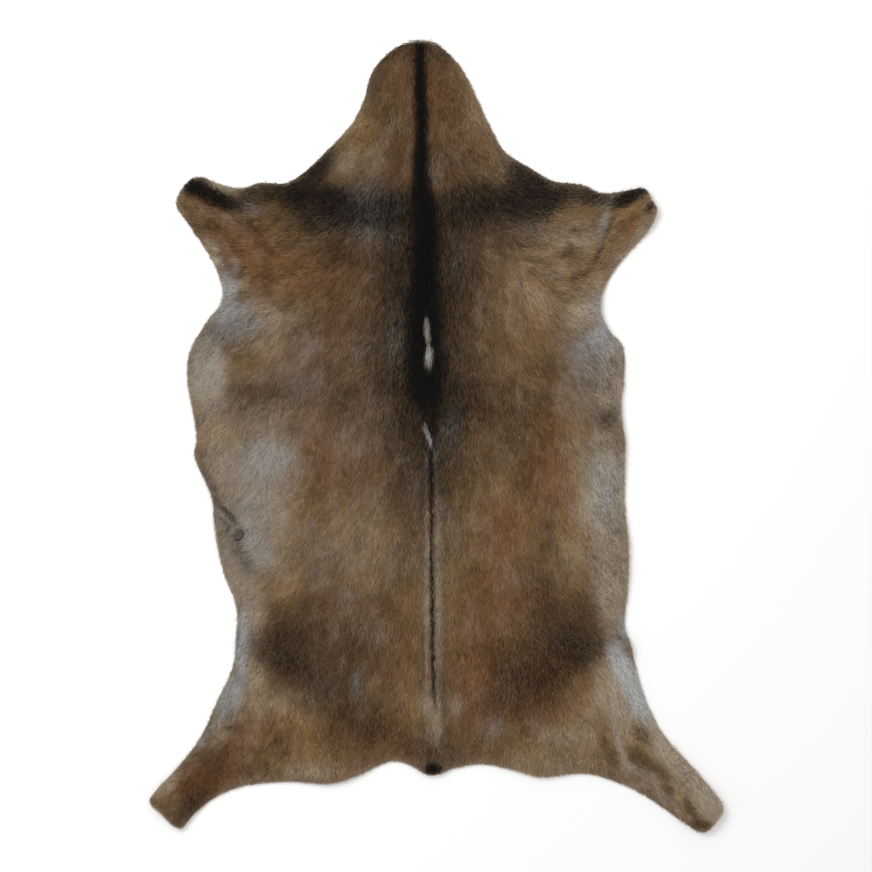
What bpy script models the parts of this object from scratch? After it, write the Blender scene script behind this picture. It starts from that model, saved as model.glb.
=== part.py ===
"""A goatskin rug laid out flat, coat side up: one hide with its leather and the short coat that lies on it.

Metres, +Z up. +Y points to the neck and +X to the right-hand legs, seen from above with the neck away
from the viewer. The origin is on the floor, under the middle of the hide's length and width.
"""

import math

import bmesh
import bpy
import numpy as np
from mathutils import Vector
from mathutils.geometry import delaunay_2d_cdt

# Driving dimensions, in metres
LEATHER_THICKNESS = 0.0016
COAT_DEPTH = 0.0048
COAT_DEPTH_AT_RIM = 0.0012
COAT_SLOPE_WIDTH = 0.030
NAIL_SLIT_LENGTH = 0.0090
NAIL_SLIT_WIDTH = 0.0022

# How finely the hide is divided, in metres
RIM_SPACING = 0.0115
GRID_PITCH = 0.0175
GRID_TO_RIM = 0.0090
CREASE_STEP = 0.0140
CREASE_FEET = 0.90
NARROW_FOLD = 0.0200
NAIL_SLIT_SIDES = 10
NAIL_SLIT_SURROUND = 3.0

# The slit that a drying nail left in the right fore hoof: centre in metres, and heading in degrees from +X
NAIL_SLIT_CENTRE = (0.262, 0.290)
NAIL_SLIT_HEADING = 48.0

MILLIMETRE = 0.001

# Half outlines from the neck to the tail, in millimetres from the middle of the hide:
# landmark, left x, left y, right x, right y
LANDMARKS = (
    ("neck tip", -30, 498, -6, 498),
    ("poll", -58, 486, 14, 484),
    ("cheek", -82, 459, 34, 461),
    ("throat", -93, 423, 53, 423),
    ("neck side", -108, 394, 68, 391),
    ("neck root", -139, 360, 86, 360),
    ("shoulder", -169, 332, 123, 336),
    ("shoulder point", -190, 320, 145, 323),
    ("upper arm", -221, 320, 184, 317),
    ("forearm", -247, 313, 207, 307),
    ("fore pastern", -275, 319, 234, 309),
    ("fore hoof top", -300, 327, 263, 312),
    ("fore hoof front", -315, 318, 269, 300),
    ("fore hoof tip", -328, 291, 278, 284),
    ("fore heel", -314, 268, 267, 258),
    ("foreleg back", -291, 234, 232, 219),
    ("elbow", -276, 206, 214, 191),
    ("armpit", -270, 173, 207, 161),
    ("girth", -290, 144, 217, 135),
    ("brisket", -311, 108, 235, 114),
    ("belly front", -314, 70, 237, 76),
    ("belly dip", -307, 28, 233, 35),
    ("navel", -303, -8, 238, -6),
    ("navel back", -306, -22, 238, -43),
    ("teat", -283, -80, 238, -88),
    ("flank", -281, -106, 243, -142),
    ("flank back", -270, -168, 242, -188),
    ("stifle", -253, -214, 238, -243),
    ("groin", -253, -250, 244, -257),
    ("thigh", -258, -292, 249, -280),
    ("thigh back", -277, -333, 265, -333),
    ("hock", -296, -376, 287, -376),
    ("shank", -328, -419, 326, -420),
    ("hind hoof top", -355, -447, 353, -452),
    ("hind hoof tip", -362, -461, 362, -467),
    ("hind hoof end", -348, -474, 358, -478),
    ("hind heel", -323, -495, 335, -500),
    ("hind pastern", -307, -479, 315, -490),
    ("hock back", -280, -457, 276, -463),
    ("leg root", -244, -442, 242, -443),
    ("buttock", -190, -436, 189, -426),
    ("rump", -131, -438, 131, -430),
    ("rump inside", -98, -428, 91, -420),
    ("tail bay", -55, -410, 58, -414),
    ("tail side", -28, -418, 20, -420),
    ("tail tip", -14, -426, 0, -427),
)

# Where the hide stands off the floor, each a smooth mound that ends at its own ellipse, in millimetres:
# place, centre x, centre y, half length, half width, heading in degrees from +X, height
FOLDS = (
    ("curled neck edge", -18, 505, 95, 60, 0, 4.0),
    ("curled left fore hoof", -335, 300, 75, 60, 70, 7.0),
    ("curled right fore hoof", 285, 290, 75, 60, 110, 6.0),
    ("left foreleg swell", -238, 262, 60, 34, 40, 2.5),
    ("right shank crease", 222, 262, 62, 17, 48, 3.5),
    ("left armpit lift", -285, 160, 62, 34, 60, 4.5),
    ("right armpit lift", 222, 150, 56, 30, 120, 4.0),
    ("left belly swell", -318, 62, 80, 44, 95, 4.0),
    ("left navel pucker", -300, -22, 44, 17, 15, 3.5),
    ("left teat pucker", -268, -92, 66, 18, 118, 4.0),
    ("left flank lift", -286, -128, 70, 30, 105, 3.5),
    ("right belly swell", 246, 10, 95, 40, 90, 3.5),
    ("right flank lift", 252, -150, 80, 34, 90, 4.0),
    ("right groin tuck", 236, -262, 46, 16, 150, 4.5),
    ("left groin tuck", -242, -258, 44, 16, 35, 4.0),
    ("left hock swell", -292, -412, 70, 32, 48, 3.0),
    ("right hock swell", 300, -418, 70, 30, 135, 3.0),
    ("curled left hind hoof", -352, -480, 84, 56, 45, 8.0),
    ("curled right hind hoof", 352, -484, 84, 56, 135, 8.0),
    ("left rump wave", -118, -448, 80, 46, 0, 3.5),
    ("right rump wave", 118, -442, 84, 44, 0, 3.0),
    ("tail lift", -8, -432, 46, 34, 0, 3.0),
)

# Thicker and thinner stretches of the coat, in the same columns: the height adds to the coat's depth
COAT_CHANGES = (
    ("ruff along the spine", -8, 200, 310, 46, 90, 2.2),
    ("neck ruff", -16, 400, 110, 60, 90, 0.8),
    ("tail tuft", -6, -408, 34, 26, 90, 2.0),
    ("left thigh pad", -150, -275, 110, 75, 80, 0.9),
    ("right thigh pad", 150, -270, 110, 75, 100, 0.9),
    ("bare left flank", -268, -92, 70, 30, 110, -2.6),
    ("thin left armpit", -250, 175, 60, 45, 60, -1.6),
    ("thin right armpit", 200, 165, 60, 45, 120, -1.6),
    ("thin left groin", -238, -290, 90, 34, 70, -1.6),
    ("thin right groin", 235, -280, 90, 34, 110, -1.6),
    ("worn round the nail slit", 262, 290, 14, 10, 48, -2.6),
)

# The coat's own low waves: course, wavelength in millimetres, heading in degrees from +X, height in
# millimetres
COAT_WAVES = (
    ("down the back", 97, 82, 0.35),
    ("across the back", 62, 13, 0.30),
    ("along the left shoulder", 45, 133, 0.20),
    ("along the right shoulder", 53, 41, 0.20),
)


def unit(heading):
    """The direction that lies at a heading in degrees from +X."""
    return np.array((math.cos(math.radians(heading)), math.sin(math.radians(heading))))


def between(t, start, end, at_start, at_end):
    """The value in proportion: at_start where t is start, at_end where t is end."""
    share = (t - start) / (end - start)
    return at_start * (1.0 - share) + at_end * share


def closed_curve(points, steps=24):
    """The closed centripetal Catmull-Rom curve through the points, with that many steps to each span."""
    p1 = np.asarray(points, float)
    p0, p2, p3 = np.roll(p1, 1, 0), np.roll(p1, -1, 0), np.roll(p1, -2, 0)
    gap = np.sqrt(np.linalg.norm(p2 - p1, axis=1))[:, None]
    t1 = np.roll(gap, 1, 0)
    t2 = t1 + gap
    t3 = t2 + np.roll(gap, -1, 0)
    spans = []
    for step in range(steps):
        t = between(step / steps, 0.0, 1.0, t1, t2)
        a, b, c = between(t, 0.0, t1, p0, p1), between(t, t1, t2, p1, p2), between(t, t2, t3, p2, p3)
        spans.append(between(t, t1, t2, between(t, 0.0, t2, a, b), between(t, t1, t3, b, c)))
    return np.stack(spans, axis=1).reshape(-1, 2)


def evenly_spaced(curve, spacing):
    """Points at equal distances along a closed curve, about that far apart."""
    ring = np.vstack([curve, curve[:1]])
    along = np.concatenate([[0.0], np.cumsum(np.linalg.norm(np.diff(ring, axis=0), axis=1))])
    places = np.linspace(0.0, along[-1], round(along[-1] / spacing), endpoint=False)
    return np.stack([np.interp(places, along, ring[:, k]) for k in (0, 1)], axis=1)


def rim_outline():
    """The hide's outline, anticlockwise: down the left side from the neck and up the right side."""
    left = [(x, y) for _, x, y, _, _ in LANDMARKS]
    right = [(x, y) for _, _, _, x, y in LANDMARKS]
    return evenly_spaced(closed_curve(left + right[::-1]) * MILLIMETRE, RIM_SPACING)


def nail_slit(scale=1.0):
    """The slit's loop, an ellipse, clockwise as the edge of a hole. A scale above 1 gives a loop round it."""
    angle = -2 * math.pi * np.arange(NAIL_SLIT_SIDES) / NAIL_SLIT_SIDES
    margin = (scale - 1.0) * NAIL_SLIT_WIDTH / 2
    along = (NAIL_SLIT_LENGTH / 2 + margin) * np.cos(angle)
    across = (NAIL_SLIT_WIDTH / 2 + margin) * np.sin(angle)
    lengthwise, crosswise = unit(NAIL_SLIT_HEADING), unit(NAIL_SLIT_HEADING + 90)
    return NAIL_SLIT_CENTRE + np.outer(along, lengthwise) + np.outer(across, crosswise)


def distance_to_loop(points, loop):
    """How far each point lies from the nearest stretch of a closed loop."""
    run = np.roll(loop, -1, 0) - loop
    reach = points[:, None, :] - loop[None, :, :]
    share = np.clip((reach * run).sum(2) / (run * run).sum(1), 0.0, 1.0)
    return np.linalg.norm(reach - share[:, :, None] * run, axis=2).min(axis=1)


def inside(points, loop):
    """True for each point in a closed loop: a line to the right crosses the loop an odd number of times."""
    x, y = points[:, :1], points[:, 1:]
    ax, ay = loop[:, 0], loop[:, 1]
    bx, by = np.roll(ax, -1), np.roll(ay, -1)
    rise = np.where(by == ay, 1.0, by - ay)
    crosses = ((ay > y) != (by > y)) & (x < ax + (y - ay) * (bx - ax) / rise)
    return crosses.sum(axis=1) % 2 == 1


def mounds(points, table):
    """The summed height of a table's mounds: (1 - r squared) squared of each height inside its ellipse."""
    total = np.zeros(len(points))
    for _, x, y, half_length, half_width, heading, height in table:
        reach = points / MILLIMETRE - np.array((x, y))
        along = reach @ unit(heading) / half_length
        across = reach @ unit(heading + 90) / half_width
        total += height * MILLIMETRE * np.clip(1.0 - along ** 2 - across ** 2, 0.0, None) ** 2
    return total


def coat_depth(points, rim):
    """The lying coat's depth: shallow at the rim, full a short way in, then changed region by region."""
    full = COAT_DEPTH + mounds(points, COAT_CHANGES)
    for _, wavelength, heading, height in COAT_WAVES:
        turns = points @ unit(heading) / (wavelength * MILLIMETRE)
        full += height * MILLIMETRE * np.sin(2 * math.pi * turns)
    share = np.clip(distance_to_loop(points, rim) / COAT_SLOPE_WIDTH, 0.0, 1.0)
    return between(share * (2.0 - share), 0.0, 1.0, COAT_DEPTH_AT_RIM, full)


def crease_points():
    """Rows of points along each narrow fold: its crest, and both of its feet."""
    rows = []
    for _, x, y, half_length, half_width, heading, _ in FOLDS:
        if half_width * MILLIMETRE > NARROW_FOLD:
            continue
        count = round(2 * half_length * MILLIMETRE / CREASE_STEP)
        along = np.outer(np.linspace(-half_length, half_length, count), unit(heading))
        for side in (-CREASE_FEET, 0.0, CREASE_FEET):
            rows.append((np.array((x, y)) + along + side * half_width * unit(heading + 90)) * MILLIMETRE)
    return np.vstack(rows)


def staggered_grid(low, high):
    """A grid of equal triangles over a box."""
    rows = np.arange(low[1], high[1], GRID_PITCH * math.sqrt(3) / 2)
    x, y = np.meshgrid(np.arange(low[0], high[0], GRID_PITCH), rows)
    x[1::2] += GRID_PITCH / 2
    return np.stack([x.ravel(), y.ravel()], axis=1)


def field_points(rim):
    """The points inside the outline: the creases, a loop round the slit, and a grid clear of both."""
    surround = nail_slit(NAIL_SLIT_SURROUND)
    creases = crease_points()
    creases = creases[distance_to_loop(creases, surround) > GRID_PITCH / 2]
    kept = np.vstack([creases, surround])
    grid = staggered_grid(rim.min(axis=0), rim.max(axis=0))
    apart = np.linalg.norm(grid[:, None, :] - kept[None, :, :], axis=2).min(axis=1)
    points = np.vstack([kept, grid[apart > GRID_PITCH * 0.55]])
    return points[inside(points, rim) & (distance_to_loop(points, rim) > GRID_TO_RIM)]


def loop_edges(start, count):
    """The index pairs of a closed loop of points."""
    return [(start + i, start + (i + 1) % count) for i in range(count)]


def hide_plan():
    """The hide seen from above: its points, its triangles, and the edges of its outline and of its slit."""
    rim, slit = rim_outline(), nail_slit()
    points = np.vstack([rim, slit, field_points(rim)])
    edges = loop_edges(0, len(rim)) + loop_edges(len(rim), len(slit))
    inside_only, merge_distance = 1, 1e-7
    corners = [Vector(p) for p in points]
    placed, _, triangles, *_ = delaunay_2d_cdt(corners, edges, [], inside_only, merge_distance)
    if len(placed) != len(points):
        raise ValueError("two points of the hide fell together")
    centres = points[np.array(triangles)].mean(axis=1)
    hide_only = [triangle for triangle, hole in zip(triangles, inside(centres, slit)) if not hole]
    return points, hide_only, edges, rim


def hide_mesh():
    """The closed hide: a face on the floor, a face of coat above it, and the cut edge between them."""
    points, triangles, edges, rim = hide_plan()
    floor_side = mounds(points, FOLDS)
    coat_side = floor_side + LEATHER_THICKNESS + coat_depth(points, rim)
    bm = bmesh.new()
    below = [bm.verts.new((x, y, z)) for (x, y), z in zip(points, floor_side)]
    above = [bm.verts.new((x, y, z)) for (x, y), z in zip(points, coat_side)]
    for triangle in triangles:
        bm.faces.new([above[i] for i in triangle])
        bm.faces.new([below[i] for i in reversed(triangle)])
    walls = [bm.faces.new((below[a], below[b], above[b], above[a])) for a, b in edges]
    bmesh.ops.triangulate(bm, faces=walls)
    bmesh.ops.recalc_face_normals(bm, faces=bm.faces)
    mesh = bpy.data.meshes.new("goat_hide")
    bm.to_mesh(mesh)
    bm.free()
    mesh.shade_smooth()
    return mesh


def hide_material():
    """Brown short-haired goat coat, dull."""
    material = bpy.data.materials.new("goat_coat")
    material.use_nodes = True
    shader = material.node_tree.nodes["Principled BSDF"]
    shader.inputs["Base Color"].default_value = (0.15, 0.085, 0.045, 1.0)
    shader.inputs["Roughness"].default_value = 0.75
    shader.inputs["Metallic"].default_value = 0.0
    return material


def main():
    for item in list(bpy.data.objects):
        bpy.data.objects.remove(item)
    hide = bpy.data.objects.new("goat_hide", hide_mesh())
    hide.data.materials.append(hide_material())
    bpy.context.scene.collection.objects.link(hide)


main()
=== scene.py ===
"""The looks of a goatskin rug laid out flat, coat side up.

The hide is a thin sheet of leather on its own folds. The coat on it is short blades of hair that follow the
lie of the coat, and each blade carries its own shares of the coat's pigments. Places and sizes are in
millimetres on the plan, with +Y to the neck and +X to the right-hand legs, and in metres in the meshes.
"""

import math

import bpy
import numpy as np
from mathutils.geometry import delaunay_2d_cdt
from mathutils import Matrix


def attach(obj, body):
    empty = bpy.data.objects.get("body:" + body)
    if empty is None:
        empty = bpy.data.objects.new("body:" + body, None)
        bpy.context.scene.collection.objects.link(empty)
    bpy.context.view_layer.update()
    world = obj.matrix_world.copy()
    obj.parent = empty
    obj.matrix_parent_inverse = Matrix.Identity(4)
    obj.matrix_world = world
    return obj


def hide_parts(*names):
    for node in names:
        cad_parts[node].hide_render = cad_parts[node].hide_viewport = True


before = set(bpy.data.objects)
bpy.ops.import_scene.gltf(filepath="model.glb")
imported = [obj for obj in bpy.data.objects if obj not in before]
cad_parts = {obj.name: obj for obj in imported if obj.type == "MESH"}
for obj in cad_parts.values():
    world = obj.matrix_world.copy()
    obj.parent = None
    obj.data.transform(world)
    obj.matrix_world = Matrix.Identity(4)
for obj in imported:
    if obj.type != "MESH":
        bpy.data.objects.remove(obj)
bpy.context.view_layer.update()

MILLIMETRE = 0.001

# The leather and the coat's depth, in millimetres
LEATHER_THICKNESS = 1.5
LEATHER_INSET = 1.0
LEATHER_PITCH = 5.2
LEATHER_JITTER = 0.2
LEATHER_SEED = 3
LEATHER_TO_RIM = 2.0
LEATHER_TO_SLIT = 1.2
SLIT_SURROUND = 20.0
RIM_PITCH = 4.0
RIM_FIELD_PITCH = 2.5
RIM_FIELD_MARGIN = 12.0
COAT_DEPTH = 4.8
COAT_DEPTH_AT_RIM = 1.2
COAT_SLOPE_WIDTH = 30.0

# The wrinkled skin on the left flank, where the leather is divided more finely, in millimetres: centre x,
# centre y, half length, half width, heading
WRINKLED_FLANK = (-259, -116, 33, 56, 0)
WRINKLED_FLANK_PITCH = 2.2
WRINKLED_FLANK_GAP = 2.0

# Where hairs stand and how long they are, in millimetres
HAIR_PITCH = 1.0
HAIR_ROOT_MARGIN = 1.2
SLIT_MARGIN = 0.6
HAIR_OVERHANG = 1.3
SHORTEST_HAIR = 3.0
LEAST_ROOM = 0.5
LENGTH_AT_RIM = 7.5
LENGTH_INSIDE = 4.5
LENGTH_INSIDE_DEPTH = 70.0
LENGTH_IN_RUFF = 3.0
RUFF_WIDTH = 30.0
RUFF_END, RUFF_FADE = -60.0, 120.0
THINNEST_COAT = 0.35
LENGTH_SPREAD = (0.75, 1.2)

# How each hair lies, in millimetres and degrees, and as shares of its length and of the coat's depth
HAIR_SEED = 7
HAIR_WIDTH = 0.62
WIDTH_SPREAD = (0.7, 1.25)
HAIR_MIDDLE = 0.45
HAIR_TURN = 15.0
HAIR_ROLL = 12.0
HAIR_BOW = 0.8
ROOT_IN_LEATHER = 0.3
HAIR_LIFT = (0.45, 1.0)
LIFT_POWER = 0.7
MIDDLE_LIFT = 0.72
TIP_LIFT = (0.75, 1.0)
LOWEST_HAIR = 0.2

# The tufts that hairs gather in, in millimetres and degrees, and as shares of a hair's own
TUFT_PITCH = 5.5
TUFT_STRETCH = 2.0
TUFT_GATHER = 0.25
TUFT_TURN = 12.0
TUFT_LENGTH = 0.12
TUFT_LIFT = 0.10
MIDDLE_GATHER = 0.4
NEAT_SPINE_WIDTH = 12.0
NEAT_SPINE_TURN = 0.6
NEAT_SPINE_GATHER = 0.5

# What each hair's finish reads: where along the hair the coat's colours are read, how far astray in
# millimetres, how far chance pushes each pigment's share, and how brightness varies
READ_AT = 0.65
READ_ASTRAY = 0.9
CHANCE = {"black": 0.7, "pale": 0.35, "cream": 0.35, "tan": 0.6, "rust": 0.0}
DARK_HAIRS = 0.14
DARK_HAIR_BLACK = 0.35
HAIR_SHADE = 0.10
TUFT_SHADE = 0.05
WHITE_SHADE = 0.22

# The squares after which noise and tufts repeat, the most pairs of points and edges worked out at once, and
# the steps in each span of the smooth outline
CELLS = 512
BATCH = 4_000_000
CURVE_STEPS = 8

# Where the hide stands off the floor, each a smooth mound that ends at its own ellipse, in millimetres:
# place, centre x, centre y, half length, half width, heading in degrees from +X, height
FOLDS = (
    ("curled neck edge", -18, 505, 95, 60, 0, 4.0),
    ("curled left fore hoof", -335, 300, 75, 60, 70, 7.0),
    ("curled right fore hoof", 285, 290, 75, 60, 110, 6.0),
    ("left foreleg swell", -238, 262, 60, 34, 40, 2.5),
    ("right shank crease", 222, 262, 62, 17, 48, 3.5),
    ("left armpit lift", -285, 160, 62, 34, 60, 4.5),
    ("right armpit lift", 222, 150, 56, 30, 120, 4.0),
    ("left belly swell", -318, 62, 80, 44, 95, 4.0),
    ("left navel pucker", -300, -22, 44, 17, 15, 3.5),
    ("left teat pucker", -268, -92, 66, 18, 118, 4.0),
    ("left flank lift", -286, -128, 70, 30, 105, 3.5),
    ("right belly swell", 246, 10, 95, 40, 90, 3.5),
    ("right flank lift", 252, -150, 80, 34, 90, 4.0),
    ("right groin tuck", 236, -262, 46, 16, 150, 4.5),
    ("left groin tuck", -242, -258, 44, 16, 35, 4.0),
    ("left hock swell", -292, -412, 70, 32, 48, 3.0),
    ("right hock swell", 300, -418, 70, 30, 135, 3.0),
    ("curled left hind hoof", -352, -480, 84, 56, 45, 8.0),
    ("curled right hind hoof", 352, -484, 84, 56, 135, 8.0),
    ("left rump wave", -118, -448, 80, 46, 0, 3.5),
    ("right rump wave", 118, -442, 84, 44, 0, 3.0),
    ("tail lift", -8, -432, 46, 34, 0, 3.0),
)

# Narrow wrinkles on those folds, in the same columns
WRINKLES = (
    ("left flank, upper", -283, -74, 17, 4.5, -40, 2.2),
    ("left flank, middle", -272, -92, 24, 4.5, -52, 2.6),
    ("left flank, by the teat", -262, -104, 20, 4.0, -62, 2.2),
    ("left flank, lower", -250, -142, 20, 4.0, -75, 1.8),
    ("left flank, last", -240, -158, 18, 4.0, -70, 1.5),
    ("left flank, edge", -276, -128, 26, 5.0, 100, 1.8),
    ("right shank, outer", 214, 236, 56, 5.0, 57, 1.6),
    ("right groin, upper", 243, -252, 20, 4.0, 120, 2.0),
    ("right groin, lower", 247, -272, 18, 4.0, 105, 1.8),
    ("left groin", -246, -262, 22, 4.5, 80, 1.8),
    ("left armpit", -262, 178, 26, 5.0, 30, 1.4),
    ("right armpit", 212, 165, 24, 5.0, 140, 1.4),
)

# Thicker and thinner stretches of the coat, in the same columns: the height adds to the coat's depth
COAT_CHANGES = (
    ("ruff along the spine", -8, 200, 310, 46, 90, 2.2),
    ("neck ruff", -16, 400, 110, 60, 90, 0.8),
    ("tail tuft", -6, -408, 34, 26, 90, 2.0),
    ("left thigh pad", -150, -275, 110, 75, 80, 0.9),
    ("right thigh pad", 150, -270, 110, 75, 100, 0.9),
    ("bare left flank", -268, -92, 70, 30, 110, -2.6),
    ("thin left armpit", -250, 175, 60, 45, 60, -1.6),
    ("thin right armpit", 200, 165, 60, 45, 120, -1.6),
    ("thin left groin", -238, -290, 90, 34, 70, -1.6),
    ("thin right groin", 235, -280, 90, 34, 110, -1.6),
    ("worn round the nail slit", 262, 290, 14, 10, 48, -2.6),
    ("right shank parting", 203, 239, 56, 7, 57, -2.0),
)

# The coat's own low waves: course, wavelength in millimetres, heading in degrees from +X, height in
# millimetres
COAT_WAVES = (
    ("down the back", 97, 82, 0.35),
    ("across the back", 62, 13, 0.30),
    ("along the left shoulder", 45, 133, 0.20),
    ("along the right shoulder", 53, 41, 0.20),
)

# The dried teat on the left flank, in millimetres and degrees
TEAT_MIDDLE = (-248.9, -125.4)
TEAT_HALF_LENGTH = 7.6
TEAT_HALF_WIDTH = 6.4
TEAT_HEADING = 60.0
TEAT_HEIGHT = 3.6
TEAT_ELLIPSE = (*TEAT_MIDDLE, TEAT_HALF_LENGTH, TEAT_HALF_WIDTH, TEAT_HEADING)
TEAT_CLEAR = 0.75
TEAT_RINGS = 8
TEAT_SIDES = 28

# The dark line down the spine: place, y, x of its middle, half width, strength
SPINE = (
    ("neck tip", 500, -20.2, 6.8, 1.0),
    ("poll", 483, -21.4, 7.4, 1.0),
    ("nape", 455, -20.3, 8.4, 1.0),
    ("neck", 415, -19.4, 9.0, 1.0),
    ("neck root", 375, -19.6, 9.7, 1.0),
    ("withers", 345, -19.6, 10.8, 1.0),
    ("shoulders", 328, -20.6, 12.0, 1.0),
    ("behind the shoulders", 308, -19.0, 15.8, 1.0),
    ("shoulder blades", 288, -15.1, 19.0, 1.0),
    ("chest", 246, -13.0, 20.2, 1.0),
    ("girth", 208, -14.2, 20.2, 1.0),
    ("middle ribs", 171, -16.0, 21.6, 1.0),
    ("last ribs", 133, -14.8, 23.6, 1.0),
    ("loin front", 95, -13.9, 24.6, 1.0),
    ("loin", 62, -13.9, 24.0, 0.98),
    ("loin back", 38, -12.0, 17.0, 0.90),
    ("stripe's end", 14, -5.0, 8.0, 0.80),
    ("thin line's start", -12, -6.3, 3.4, 0.80),
    ("croup", -81, -6.3, 2.3, 0.95),
    ("croup back", -157, -6.3, 2.3, 0.97),
    ("rump", -232, -5.0, 2.3, 0.97),
    ("rump back", -308, -3.8, 2.1, 0.95),
    ("thin line's end", -338, -2.5, 1.8, 0.7),
    ("above the tail", -356, -2.5, 1.5, 0.0),
    ("tail", -430, -5.0, 1.5, 0.0),
)

# Columns of that table, then how the line wanders and how soft its edges are, in millimetres
MIDDLE, HALF_WIDTH, STRENGTH = 2, 3, 4
SPINE_WANDER = 0.9
SPINE_WANDER_NOISE = (13.0, 31)
STRIPE_EDGE, STRIPE_EDGE_SHARE = 0.5, 0.10

# The lie of the coat on the right side, mirrored for the left: place, distance out from the spine, y,
# heading in degrees from +X, reach
LIE = (
    ("neck crest", 12, 470, -88, 60),
    ("neck side", 55, 440, -75, 60),
    ("throat", 90, 395, -62, 55),
    ("withers", 10, 300, -90, 60),
    ("shoulder", 90, 320, -58, 55),
    ("upper arm", 150, 290, -25, 50),
    ("forearm", 205, 262, 14, 45),
    ("fore pastern", 250, 290, 35, 40),
    ("fore hoof", 295, 300, 38, 40),
    ("elbow", 195, 195, -20, 45),
    ("back", 12, 100, -90, 60),
    ("ribs", 100, 120, -72, 60),
    ("girth", 190, 110, -55, 50),
    ("belly edge", 235, 20, -52, 50),
    ("loin", 12, -120, -90, 60),
    ("flank", 120, -80, -75, 60),
    ("flank edge", 235, -120, -58, 50),
    ("rump", 12, -320, -90, 60),
    ("thigh", 130, -270, -72, 60),
    ("stifle", 215, -240, -50, 45),
    ("thigh edge", 240, -310, -62, 45),
    ("hock", 265, -390, -55, 45),
    ("shank", 325, -450, -50, 45),
    ("buttock", 150, -410, -80, 50),
    ("tail", 5, -415, -90, 50),
)

# How the lie turns: slow noise, each a pitch in millimetres, a seed and degrees, with less of it along the
# spine, and a splay at the rim
LIE_TURNS = ((85.0, 20, 12.0), (22.0, 21, 8.0))
SPINE_CALM = 22.0
SPINE_TURN = 0.25
EDGE_SPLAY = 0.3
EDGE_SPLAY_REACH = 7.0

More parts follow.
